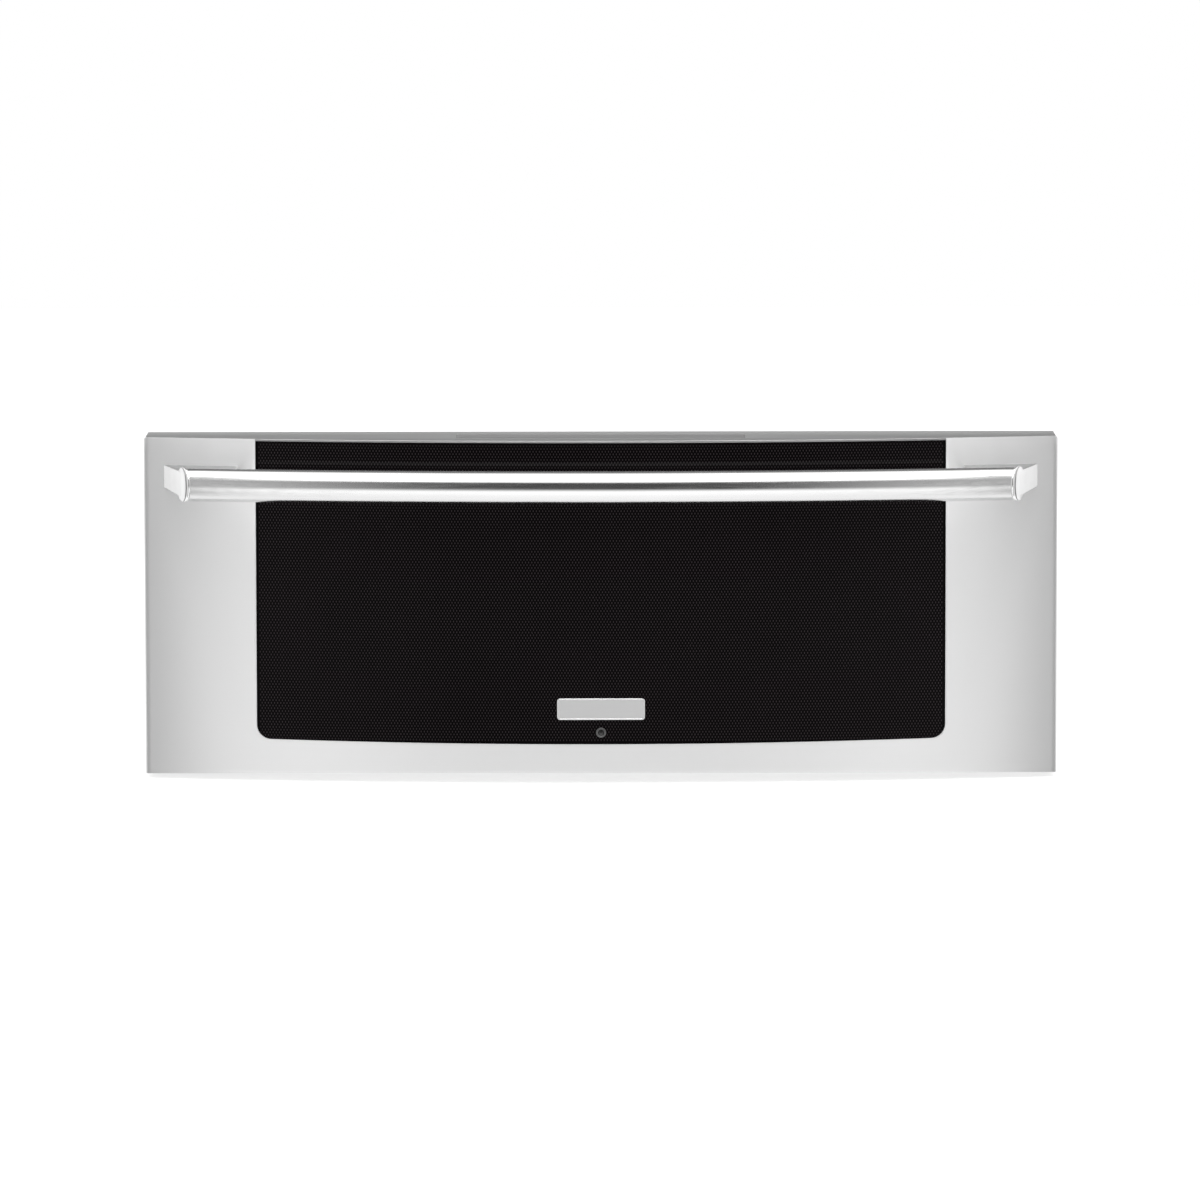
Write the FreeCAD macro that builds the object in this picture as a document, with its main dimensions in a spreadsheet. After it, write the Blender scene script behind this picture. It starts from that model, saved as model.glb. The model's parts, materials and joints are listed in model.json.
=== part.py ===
import FreeCAD, Part
import math
import os
import re
import Sketcher

# Sizes that drive the model, in millimetres.
DRIVING = {
    # Housing that goes into the cabinet
    "housing_width": 716,
    "housing_height": 226,
    "housing_depth": 550,
    "sheet_gauge": 1.2,
    "flange_reach": 14,
    "top_flange": 42,
    "fixing_radius": 2.5,
    "fixing_margin": 34,
    # Heated cavity
    "liner_gauge": 1.0,
    "side_insulation": 16,
    "base_insulation": 20,
    "rear_insulation": 16,
    "top_insulation": 14.4,
    "bumper_radius": 9,
    "bumper_spread": 220,
    "bumper_rise": 98,
    "bumper_gap": 0.5,
    # Drawer front
    "front_width": 760,
    "front_height": 282,
    "front_lift": 4,
    "front_side_depth": 42,
    "front_bow": 35,
    "front_gauge": 1.5,
    "front_corner": 2.5,
    "skirt_height": 6,
    "bottom_arch": 4.6,
    "stile_width": 93.5,
    "opening_rise": 31,
    "opening_sag": 2.3,
    "opening_corner": 12,
    "glass_thickness": 4,
    "glass_lap": 8,
    "glass_gap": 0.1,
    "seat_gap": 0.25,
    "clamp_width": 20,
    "clamp_thickness": 2,
    "trim_thickness": 1.8,
    "trim_gap": 0.2,
    "tray_depth": 12,
    "front_insulation": 20,
    "front_insulation_width": 660,
    "front_insulation_height": 236,
    "gasket_thickness": 6,
    "gasket_width": 8,
    "gasket_gap": 0.3,
    "gasket_margin": 3.4,
    "gasket_lip": 0.5,
    # Touch strip and its board
    "overlay_width": 240,
    "overlay_depth": 26,
    "overlay_thickness": 0.6,
    "overlay_setback": 24,
    "overlay_gap": 0.15,
    "board_width": 200,
    "board_depth": 28,
    "board_thickness": 1.6,
    "post_radius": 2.5,
    "post_height": 4,
    "post_inset": 6,
    # Plate and indicator at the foot of the glass
    "plate_width": 73,
    "plate_height": 18.0,
    "plate_thickness": 1.4,
    "plate_corner": 2.5,
    "plate_rise": 58.1,
    "lens_radius": 4.2,
    "lens_stand": 1.0,
    "lens_stem": 3.0,
    "lens_rise": 38.4,
    "lamp_radius": 5.0,
    "lamp_length": 8.0,
    # Handle
    "bar_radius": 13.3,
    "bar_wall": 1.5,
    "bar_standoff": 60,
    "bar_drop": 30.8,
    "cap_length": 4.5,
    "cap_lip": 0.6,
    "foot_margin": 15,
    "foot_length": 64,
    "foot_height": 20,
    "mitre_setback": 17,
    "handle_screw_radius": 2.4,
    "handle_screw_depth": 12,
    "handle_head_radius": 4.5,
    "handle_head_height": 3,
    "handle_screw_inset": 13,
    # Drawer pan
    "pan_gauge": 1.0,
    "pan_clearance": 26,
    "pan_headroom": 20,
    "pan_rear_gap": 22.5,
    "pan_corner": 14,
    "pan_rim": 8,
    "pan_side_gap": 0.5,
    "bracket_gauge": 1.5,
    "bracket_foot": 30,
    "bracket_setback": 40,
    "bracket_rise": 18,
    "bracket_tab": 10,
    "fit_gap": 0.1,
    "screw_radius": 1.75,
    "screw_head": 3.6,
    "screw_head_height": 2,
    "drawer_screw_length": 8,
    "drawer_screw_spread": 240,
    "drawer_screw_low": 25,
    "drawer_screw_drop": 25,
    # Moisture vent
    "vent_slot_width": 10,
    "vent_slot_height": 7,
    "vent_pitch": 24,
    "vent_travel": 12,
    "slider_height": 13,
    "slider_gauge": 1.2,
    "slider_end": 10,
    "slider_tab_width": 30,
    "slider_tab_height": 4,
    "slider_tab_reach": 7,
    "rivet_spread": 78,
    "rivet_radius": 1.6,
    "rivet_head": 3.6,
    "rivet_head_height": 1.2,
    "running_gap": 0.3,
    # Ball slides
    "slide_inset": 13,
    "slide_rear_gap": 20,
    "slide_height": 46,
    "slide_width": 12.7,
    "slide_rise": 48,
    "rail_gauge": 1.2,
    "outer_rail_setback": 0.7,
    "outer_rail_lip": 2.2,
    "mid_rail_set": 2.6,
    "mid_rail_setback": 2.7,
    "mid_rail_lip": 1.0,
    "inner_rail_set": 4.6,
    "inner_rail_lip": 1.4,
    "rail_lip_gauge": 0.8,
    "ball_radius": 2,
    "ball_play": 0.1,
    "ball_pitch": 36,
    "cage_length": 180,
    "cage_gauge": 0.4,
    "outer_cage_set": 1.7,
    "outer_cage_reach": 9.4,
    "outer_ball_set": 6.0,
    "inner_cage_set": 4.0,
    "inner_cage_reach": 10,
    "inner_ball_set": 7.5,
    # Release lever of each slide
    "lever_offset": 190,
    "lever_reach": 28,
    "lever_height": 6,
    "lever_gauge": 3,
    "lever_hub": 5,
    "lever_tab": 8,
    "lever_tab_height": 10,
    "stud_radius": 2,
    "stud_head": 3.8,
    "stud_head_height": 1.5,
    # Heating element and controls
    "element_radius": 3.5,
    "element_rise": 8,
    "element_leg": 30,
    "element_pitch": 120,
    "element_front_gap": 35,
    "element_stagger": 50,
    "element_rear_gap": 48,
    "element_tail": 8,
    "clip_width": 10,
    "clip_wall": 4,
    "element_plate_width": 96,
    "element_plate_height": 14,
    "element_plate_gauge": 2,
    "sensor_radius": 2.5,
    "sensor_length": 90,
    "sensor_side": 170,
    "sensor_rise": 16,
    "sensor_plate_width": 34,
    "sensor_plate_height": 12,
    "sensor_plate_gauge": 1.5,
    "cutout_radius": 9,
    "cutout_height": 8,
    "cutout_side": 120,
    "cutout_rise": 150,
    "cutout_plate_width": 36,
    "cutout_plate_height": 14,
    # Terminal box on the rear panel
    "cover_width": 180,
    "cover_height": 78,
    "cover_depth": 28,
    "cover_rise": 14,
    "cover_flange": 14,
    "cover_screw_inset": 7,
    "bushing_bore": 4.5,
    "bushing_barrel": 8,
    "bushing_flange": 11,
    "bushing_flange_height": 2,
    "bushing_side": 62,
    "bushing_rise": 38,
    "power_board_width": 116,
    "power_board_height": 40,
    "power_board_side": 18,
    "power_board_drop": 5,
    "power_post_height": 6,
    "relay_width": 20,
    "relay_height": 15,
    "relay_depth": 13,
    "relay_pitch": 26,
    "connector_width": 36,
    "connector_height": 9,
    "connector_depth": 11,
    # Housing screws
    "top_screw_inset": 9,
    "top_screw_pitch": 200,
    "rear_screw_pitch": 80,
}

# Sizes that follow from the driving ones.
DERIVED = {
    # Planes of the housing
    "face": "-housing_depth/2",
    "back": "housing_depth/2",
    "side": "housing_width/2",
    "liner_out": "side - sheet_gauge - side_insulation",
    "liner_in": "liner_out - liner_gauge",
    "floor_under": "sheet_gauge + base_insulation",
    "floor_top": "floor_under + liner_gauge",
    "roof_top": "top_under - sheet_gauge - top_insulation",
    "roof_under": "roof_top - liner_gauge",
    "rear_out": "back - rear_insulation",
    "rear_in": "rear_out - liner_gauge",
    "top_under": "housing_height - sheet_gauge",
    "rear_face": "back + sheet_gauge",
    # Planes of the drawer front
    "front_back": "face - sheet_gauge - gasket_thickness - gasket_gap",
    "front_side": "front_back - front_side_depth",
    "front_nose": "front_side - front_bow",
    "front_half": "front_width/2",
    "front_top": "front_lift + front_height",
    "trim_under": "front_top - trim_thickness",
    "skirt_top": "front_lift + skirt_height",
    "tray_half": "front_half - front_gauge - trim_gap",
    "tray_under": "skirt_top + front_gauge + trim_gap",
    "tray_top": "trim_under - trim_gap",
    "tray_inside": "front_back - liner_gauge",
    "bow_radius": "(front_half^2 + front_bow^2)/(2*front_bow)",
    "bow_axis": "front_nose + bow_radius",
    "bow_lean": "front_half/bow_radius",
    "bend_radius": "front_corner*(1 + bow_lean)/sqrt(1 - bow_lean^2)",
    "arch_radius": "(front_half^2 + bottom_arch^2)/(2*bottom_arch)",
    "opening_half": "front_half - stile_width",
    "opening_foot": "front_lift + opening_rise",
    "sag_half": "opening_half - opening_corner",
    "sag_radius": "(sag_half^2 + opening_sag^2)/(2*opening_sag)",
    "glass_inset": "front_gauge + glass_gap",
    "glass_half": "opening_half + glass_lap",
    "glass_foot": "opening_foot - opening_sag - glass_lap",
    "glass_head": "trim_under - glass_gap",
    "glass_rear": "glass_inset + glass_thickness",
    "clamp_inner": "glass_half - clamp_width + glass_lap",
    "clamp_outer": "glass_half + glass_lap",
    "gasket_half": "liner_out + gasket_margin + gasket_width",
    "gasket_foot": "floor_under - gasket_lip - gasket_width",
    "gasket_head": "roof_under + gasket_margin + gasket_width",
    # Handle
    "bar_z": "front_top - bar_drop",
    "bar_arc": "bow_radius + bar_standoff",
    "cap_radius": "bar_radius + cap_lip",
    "foot_outer": "front_half - foot_margin",
    "foot_inner": "foot_outer - foot_length",
    "foot_arc": "bow_radius + seat_gap",
    "handle_reach": "foot_outer - mitre_setback",
    "end_y": "bow_axis - sqrt(bar_arc^2 - handle_reach^2)",
    "foot_y": "bow_axis - sqrt(foot_arc^2 - foot_outer^2)",
    "mitre_run_x": "handle_reach - foot_outer",
    "mitre_run_y": "end_y - foot_y",
    "mitre_front_x": "handle_reach + mitre_run_x/2",
    "mitre_front_y": "end_y + mitre_run_y/2",
    "mitre_rear_x": "handle_reach - mitre_run_x*2/5",
    "mitre_rear_y": "end_y - mitre_run_y*2/5",
    "bar_low": "bar_z - 2*bar_radius",
    "bar_high": "bar_z + 2*bar_radius",
    # Drawer pan
    "rail_face": "liner_in - slide_width",
    "pan_half": "rail_face - bracket_gauge - pan_side_gap",
    "pan_under": "floor_top + pan_clearance",
    "pan_top": "roof_under - pan_headroom",
    "pan_rear": "rear_in - pan_rear_gap",
    "pan_floor": "pan_under + pan_gauge",
    "pan_front": "front_back + pan_gauge",
    "vent_z": "(pan_top + roof_under)/2",
    "slider_rear": "front_back + slider_gauge",
    # Ball slides
    "slide_z": "pan_under + slide_rise",
    "slide_front": "face + slide_inset",
    "slide_rear": "rear_in - slide_rear_gap",
    "slide_middle": "(slide_front + slide_rear)/2",
    "outer_rail_reach": "slide_width - outer_rail_setback",
    "mid_rail_reach": "slide_width - mid_rail_setback",
    "outer_top": "slide_height/2",
    "outer_bed": "outer_top - rail_gauge",
    "outer_ball_z": "outer_bed - ball_play - ball_radius",
    "mid_top": "outer_ball_z - ball_radius - ball_play",
    "mid_bed": "mid_top - rail_gauge",
    "inner_ball_z": "mid_bed - ball_play - ball_radius",
    "inner_top": "inner_ball_z - ball_radius - ball_play",
    "inner_bed": "inner_top - rail_gauge",
    "inner_web": "slide_width - rail_gauge",
    "lever_y": "slide_front + lever_offset",
    "lever_far": "inner_web - running_gap",
    "lever_near": "lever_far - lever_gauge",
    # Heating element and terminal box
    "element_z": "floor_top + element_rise",
    "element_bend": "element_pitch/2",
    "element_leg_two": "element_leg + element_pitch",
    "element_leg_three": "element_leg + 2*element_pitch",
    "element_end": "rear_face + element_tail",
    "element_front": "face + element_front_gap",
    "element_turn_front": "element_front + element_stagger + element_bend",
    "element_turn_rear": "rear_in - element_rear_gap - element_bend",
    "cover_rear": "rear_face + cover_depth",
    "cover_top": "cover_rise + cover_height",
    "bushing_z": "cover_rise + bushing_rise",
    "power_board_top": "cover_top - sheet_gauge - power_board_drop",
    "power_board_front": "rear_face + power_post_height",
    "power_board_rear": "power_board_front + board_thickness",
}

PLANES = {"XY": "XY_Plane", "XZ": "XZ_Plane", "YZ": "YZ_Plane"}
TURNS = {
    "X": FreeCAD.Rotation(FreeCAD.Vector(0, 1, 0), 90),
    "Y": FreeCAD.Rotation(FreeCAD.Vector(1, 0, 0), -90),
    "Z": FreeCAD.Rotation(),
}

doc = FreeCAD.newDocument("warming_drawer")
sheet = doc.addObject("Spreadsheet::Sheet", "Dimensions")
nodes = []


def fill_sheet():
    """Write every driving size into the sheet under its own name."""
    for row, (name, size) in enumerate(DRIVING.items(), start=1):
        sheet.set("A%d" % row, name)
        sheet.set("B%d" % row, str(size))
        sheet.setAlias("B%d" % row, name)
    doc.recompute()


def spell(text, driving, derived):
    """Replace each name in a formula by what driving or derived makes of it."""
    def swap(found):
        name = found.group(0)
        if name in DERIVED:
            return "(" + derived(name) + ")"
        if name in DRIVING:
            return "(" + driving(name) + ")"
        return name
    return re.sub(r"[A-Za-z_]\w*", swap, str(text))


def formula(text):
    """The formula in the form that the document's expressions take."""
    return spell(text, lambda name: "Dimensions." + name, lambda name: formula(DERIVED[name]))


def number(text):
    """The value of a formula at the sizes in the sheet, used to start a sketch."""
    plain = spell(text, lambda name: str(DRIVING[name]), lambda name: "%.9f" % number(DERIVED[name]))
    return FreeCAD.Units.parseQuantity(plain).Value


def bind(item, path, text):
    """Tie one property of a document object to a formula."""
    item.setExpression(path, formula(text))


def place(item, x, y, z):
    """Tie an object's position to three formulas."""
    bind(item, "Placement.Base.x", x)
    bind(item, "Placement.Base.y", y)
    bind(item, "Placement.Base.z", z)


def box(x, y, z):
    """A block between two formulas along each axis."""
    item = doc.addObject("Part::Box", "Block")
    for path, span in (("Length", x), ("Width", y), ("Height", z)):
        bind(item, path, "(%s) - (%s)" % (span[1], span[0]))
    place(item, x[0], y[0], z[0])
    return item


def rod(axis, at, along, radius):
    """A round rod along one axis: at gives the other two coordinates in X, Y, Z order."""
    item = doc.addObject("Part::Cylinder", "Rod")
    item.Placement = FreeCAD.Placement(FreeCAD.Vector(), TURNS[axis])
    bind(item, "Radius", radius)
    bind(item, "Height", "(%s) - (%s)" % (along[1], along[0]))
    spot = list(at)
    spot.insert("XYZ".index(axis), along[0])
    place(item, *spot)
    return item


def radial_rod(x, z, inset, reach, radius):
    """A round rod square to the bowed front at x, from inset behind its face to reach ahead of it."""
    item = doc.addObject("Part::Cylinder", "RadialRod")
    item.Placement = FreeCAD.Placement(FreeCAD.Vector(), FreeCAD.Rotation(FreeCAD.Vector(1, 0, 0), 90))
    lean = "(%s)/bow_radius" % x
    upright = "sqrt(1 - (%s)^2)" % lean
    start = "(bow_radius - (%s))" % inset
    bind(item, "Radius", radius)
    bind(item, "Height", "(%s) + (%s)" % (inset, reach))
    bind(item, "Placement.Rotation.Axis.x", upright)
    bind(item, "Placement.Rotation.Axis.y", lean)
    place(item, "%s*%s" % (start, lean), "bow_axis - %s*%s" % (start, upright), z)
    return item


def ball(x, y, z, radius):
    """One ball."""
    item = doc.addObject("Part::Sphere", "Ball")
    bind(item, "Radius", radius)
    place(item, x, y, z)
    return item


def bar_ring(radius):
    """A round bar that runs along the handle's arc, past both ends of the handle."""
    item = doc.addObject("Part::Torus", "Ring")
    item.Placement = FreeCAD.Placement(FreeCAD.Vector(), FreeCAD.Rotation(FreeCAD.Vector(0, 0, 1), -100))
    bind(item, "Radius1", "bar_arc")
    bind(item, "Radius2", radius)
    bind(item, "Angle3", "4*asin(handle_reach/bar_arc)")
    bind(item, "Placement.Rotation.Angle", "270 deg - 2*asin(handle_reach/bar_arc)")
    place(item, "0", "bow_axis", "bar_z")
    return item


def group(items):
    """Several separate solids as one object."""
    item = doc.addObject("Part::Compound", "Group")
    item.Links = list(items)
    return item


def fuse(*items):
    """One solid made of several that meet."""
    item = doc.addObject("Part::MultiFuse", "Joined")
    item.Shapes = list(items)
    item.Refine = True
    return item


def cut(base, *tools):
    """A solid with the tools taken out of it."""
    item = doc.addObject("Part::Cut", "Cut")
    item.Base = base
    item.Tool = tools[0] if len(tools) == 1 else group(tools)
    item.Refine = True
    return item


def common(base, tool):
    """What two solids share."""
    item = doc.addObject("Part::Common", "Shared")
    item.Base = base
    item.Tool = tool
    return item


def mirrored(source):
    """The same solid on the other side of the middle plane."""
    item = doc.addObject("Part::Mirroring", "Mirrored")
    item.Source = source
    item.Normal = FreeCAD.Vector(1, 0, 0)
    return item


def node(label, item):
    """Make an object one sub-part of the assembly."""
    item.Label = label
    nodes.append(item)
    return item


def pair(label, source):
    """Make an object the right one of two sub-parts, and its mirror image the left one."""
    node("right_" + label, source)
    node("left_" + label, mirrored(source))


def arc_middle(start, end, radius, turn):
    """The middle point of the short arc between two points: turn is 1 when its centre is on the left."""
    chord = end - start
    half = chord.Length/2
    sag = radius - math.sqrt(max(radius*radius - half*half, 0.0))
    left = FreeCAD.Vector(-chord.y, chord.x, 0).normalize()
    return (start + end)/2 - left*(sag*turn)


def tie_point(sketch, edge, end, x, y):
    """Hold one end of an edge at two formulas from the sketch's origin."""
    for kind, text, axis in (("DistanceX", x, -2), ("DistanceY", y, -1)):
        if text == "0":
            sketch.addConstraint(Sketcher.Constraint("PointOnObject", edge, end, axis))
            continue
        index = sketch.addConstraint(Sketcher.Constraint(kind, -1, 1, edge, end, number(text)))
        bind(sketch, "Constraints[%d]" % index, text)


def draw(body, plane, corners, offset, closed=True):
    """A sketch through the corners: a corner is x and y, then the radius and turn of an arc to the next."""
    sketch = body.newObject("Sketcher::SketchObject", "Profile")
    role = PLANES[plane]
    support = [one for one in body.Origin.OriginFeatures if one.Role == role][0]
    sketch.AttachmentSupport = [(support, "")]
    sketch.MapMode = "FlatFace"
    bind(sketch, "AttachmentOffset.Base.z", offset)
    spots = [FreeCAD.Vector(number(one[0]), number(one[1]), 0) for one in corners]
    count = len(corners) if closed else len(corners) - 1
    ends = []
    for index in range(count):
        start = spots[index]
        end = spots[(index + 1) % len(spots)]
        if len(corners[index]) == 2:
            edge = sketch.addGeometry(Part.LineSegment(start, end))
            ends.append((1, 2))
            continue
        radius, turn = corners[index][2:]
        middle = arc_middle(start, end, number(radius), turn)
        edge = sketch.addGeometry(Part.Arc(start, middle, end))
        forward = (sketch.getPoint(edge, 1) - start).Length < (sketch.getPoint(edge, 2) - start).Length
        ends.append((1, 2) if forward else (2, 1))
    for index in range(count):
        following = (index + 1) % count
        if closed or following:
            last = ends[index][1]
            first = ends[following][0]
            sketch.addConstraint(Sketcher.Constraint("Coincident", index, last, following, first))
        tie_point(sketch, index, ends[index][0], *corners[index][:2])
    if not closed:
        tie_point(sketch, count - 1, ends[-1][1], *corners[-1][:2])
    for index in range(count):
        if len(corners[index]) > 2:
            radius = corners[index][2]
            held = sketch.addConstraint(Sketcher.Constraint("Radius", index, number(radius)))
            bind(sketch, "Constraints[%d]" % held, radius)
    return sketch


def plane_offset(plane, along):
    """Where a sketch lies along its own normal: the XZ plane's normal points to the front."""
    return "-(%s)" % along[1] if plane == "XZ" else along[0]


def prism(plane, corners, along):
    """A body with one profile, padded between two formulas along the third axis."""
    body = doc.addObject("PartDesign::Body", "Body")
    grow(body, plane, corners, along)
    return body


def grow(body, plane, corners, along):
    """Pad one more profile onto a body."""
    sketch = draw(body, plane, corners, plane_offset(plane, along))
    pad = body.newObject("PartDesign::Pad", "Pad")
    pad.Profile = sketch
    bind(pad, "Length", "(%s) - (%s)" % (along[1], along[0]))
    sketch.Visibility = False
    body.Tip = pad
    return body


def hollow(body, plane, corners, along):
    """Take a profile out of a body between two formulas along the third axis."""
    doc.recompute()
    before = body.Shape.Volume
    sketch = draw(body, plane, corners, plane_offset(plane, along))
    pocket = body.newObject("PartDesign::Pocket", "Pocket")
    pocket.Profile = sketch
    pocket.Reversed = True
    bind(pocket, "Length", "(%s) - (%s)" % (along[1], along[0]))
    sketch.Visibility = False
    body.Tip = pocket
    doc.recompute()
    if body.Shape.Volume >= before:
        raise RuntimeError("a pocket took nothing out of " + body.Name)
    return body


def rounded(x, y, radius):
    """Corners of a rectangle with round corners."""
    left = "(%s) + (%s)" % (x[0], radius)
    right = "(%s) - (%s)" % (x[1], radius)
    low = "(%s) + (%s)" % (y[0], radius)
    high = "(%s) - (%s)" % (y[1], radius)
    return [
        (left, y[0]), (right, y[0], radius, 1), (x[1], low), (x[1], high, radius, 1),
        (right, y[1]), (left, y[1], radius, 1), (x[0], high), (x[0], low, radius, 1),
    ]


def both(size):
    """A span that is the same on both sides of the middle."""
    return "-(%s)" % size, size


def bow(x, inset="0"):
    """Where the bowed face lies at x, at some depth behind the outer surface."""
    return "bow_axis - sqrt((bow_radius - (%s))^2 - (%s)^2)" % (inset, x)


def bowed_plate(x, z, inset, thickness):
    """A plate that follows the bowed front at some depth behind its outer surface."""
    rear = "(%s) + (%s)" % (inset, thickness)
    corners = [
        (x[0], bow(x[0], inset), "bow_radius - (%s)" % inset, 1),
        (x[1], bow(x[1], inset)),
        (x[1], bow(x[1], rear), "bow_radius - (%s)" % rear, -1),
        (x[0], bow(x[0], rear)),
    ]
    return prism("XY", corners, z)


def screw(axis, at, seat, along, length):
    """A round-headed screw: its head stands on seat, and along is the sign in which its shank runs."""
    tip = "(%s) + (%d)*(%s)" % (seat, along, length)
    crown = "(%s) - (%d)*screw_head_height" % (seat, along)
    shank = (seat, tip) if along > 0 else (tip, seat)
    head = (crown, seat) if along > 0 else (seat, crown)
    return fuse(rod(axis, at, shank, "screw_radius"), rod(axis, at, head, "screw_head"))


def build_housing():
    """Outer panels, with the face flanges that stop at the cabinet's front."""
    depth = ("face", "back")
    skin = ("face - sheet_gauge", "face")
    base = fuse(
        box(both("side"), depth, ("0", "sheet_gauge")),
        box(both("side"), skin, ("0", "floor_under")),
    )
    node("base_panel", base)

    corners = [
        ("liner_out", "sheet_gauge"), ("side", "sheet_gauge"), ("side", "top_under"),
        ("liner_out", "top_under"), ("liner_out", "top_under - sheet_gauge"),
        ("side - sheet_gauge", "top_under - sheet_gauge"), ("side - sheet_gauge", "2*sheet_gauge"),
        ("liner_out", "2*sheet_gauge"),
    ]
    wall = prism("XZ", corners, depth)
    front = box(("liner_out", "side + flange_reach"), skin, ("floor_under", "roof_under"))
    inside = ("2*sheet_gauge", "top_under - sheet_gauge")
    rear = box(("liner_out", "side"), ("back - sheet_gauge", "back"), inside)
    fixings = [
        rod("Y", ("side + flange_reach/2", height), skin, "fixing_radius")
        for height in ("floor_under + fixing_margin", "roof_under - fixing_margin")
    ]
    column = "side - top_screw_inset"
    upper = ("top_under - sheet_gauge", "top_under")
    hinder = ("back - sheet_gauge", "back")
    holes = [rod("Z", (column, y), upper, "screw_radius + fit_gap") for y in top_screw_rows()]
    holes += [rod("Y", (column, z), hinder, "screw_radius + fit_gap") for z in rear_screw_rows()]
    pair("side_panel", cut(fuse(wall, front, rear), *(fixings + holes)))

    top = fuse(
        box(both("side"), depth, ("top_under", "housing_height")),
        box(both("side + flange_reach"), skin, ("roof_under", "housing_height + top_flange")),
    )
    holes = [
        rod("Z", (x, y), ("top_under", "housing_height"), "screw_radius + fit_gap")
        for x in both("side - top_screw_inset") for y in top_screw_rows()
    ]
    node("top_panel", cut(top, *holes))

    rear = box(both("side"), ("back", "rear_face"), ("0", "housing_height"))
    holes = [
        rod("Y", (x, z), ("back", "rear_face"), "screw_radius + fit_gap")
        for x in both("side - top_screw_inset") for z in rear_screw_rows()
    ]
    holes += cover_screw_bores(("back", "rear_face"))
    holes += element_bores(("back", "rear_face"))
    node("rear_panel", cut(rear, *holes))

    screws = [
        screw("Z", (x, y), "housing_height", -1, "2*sheet_gauge")
        for x in both("side - top_screw_inset") for y in top_screw_rows()
    ]
    screws += [
        screw("Y", (x, z), "rear_face", -1, "2*sheet_gauge")
        for x in both("side - top_screw_inset") for z in rear_screw_rows()
    ]
    screws += [screw("Y", at, "rear_face + sheet_gauge", -1, "2*sheet_gauge") for at in cover_screw_spots()]
    node("housing_screws", group(screws))


def top_screw_rows():
    """Where the top panel's screws stand, front to back."""
    return ["top_screw_pitch*(%d)" % step for step in (-1, 0, 1)]


def rear_screw_rows():
    """Where the rear panel's screws stand, bottom to top."""
    return ["housing_height/2 + rear_screw_pitch*(%d)" % step for step in (-1, 0, 1)]


def cover_screw_spots():
    """Where the terminal cover's screws stand, as X and Z."""
    x = "cover_width/2 + cover_screw_inset"
    rows = ("cover_rise + 2*cover_screw_inset", "cover_top - 2*cover_screw_inset")
    return [(sign + "(" + x + ")", z) for sign in ("-", "") for z in rows]


def cover_screw_bores(along):
    """Holes for the terminal cover's screws."""
    return [rod("Y", at, along, "screw_radius + fit_gap") for at in cover_screw_spots()]


def element_bores(along):
    """Holes for the heating element's two legs."""
    return [rod("Y", (x, "element_z"), along, "element_radius + running_gap") for x in both("element_leg")]


def build_cavity():
    """Heated cavity: liner sheets, insulation around them, and the rear stops."""
    depth = ("face", "rear_out")
    node("cavity_floor", box(both("liner_in"), depth, ("floor_under", "floor_top")))
    pair("liner", box(("liner_in", "liner_out"), depth, ("sheet_gauge", "roof_under")))
    node("cavity_roof", box(both("liner_out"), depth, ("roof_under", "roof_top")))

    skin = ("rear_in", "rear_out")
    rear = box(both("liner_in"), skin, ("floor_top", "roof_under"))
    probe = rod("Y", ("sensor_side", "floor_top + sensor_rise"), skin, "sensor_radius + fit_gap")
    node("cavity_rear", cut(rear, probe, *element_bores(skin)))

    whole = ("face", "back")
    node("base_insulation", box(both("liner_in"), whole, ("sheet_gauge", "floor_under")))
    node("top_insulation", box(both("liner_out"), whole, ("roof_top", "top_under - sheet_gauge")))
    high = ("2*sheet_gauge", "top_under - sheet_gauge")
    pair("insulation", box(("liner_out", "side - sheet_gauge"), ("face", "back - sheet_gauge"), high))
    rear = box(both("liner_out"), ("rear_out", "back"), ("floor_under", "roof_top"))
    node("rear_insulation", cut(rear, *element_bores(("rear_out", "back"))))

    stops = [
        rod("Y", (x, "floor_top + bumper_rise"), ("pan_rear + bumper_gap", "rear_in"), "bumper_radius")
        for x in both("bumper_spread")
    ]
    node("rear_bumpers", group(stops))


def element_path():
    """Half of the heating element's course, from the rear end of its right leg to its front's middle."""
    half_turn = "element_bend"
    return [
        ("element_leg", "element_end"),
        ("element_leg", "element_turn_front", half_turn, 1),
        ("element_leg + element_bend", "element_turn_front - element_bend", half_turn, 1),
        ("element_leg_two", "element_turn_front"),
        ("element_leg_two", "element_turn_rear", half_turn, -1),
        ("element_leg_two + element_bend", "element_turn_rear + element_bend", half_turn, -1),
        ("element_leg_three", "element_turn_rear"),
        ("element_leg_three", "element_front + element_bend", half_turn, -1),
        ("element_leg_three - element_bend", "element_front"),
        ("0", "element_front"),
    ]


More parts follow.
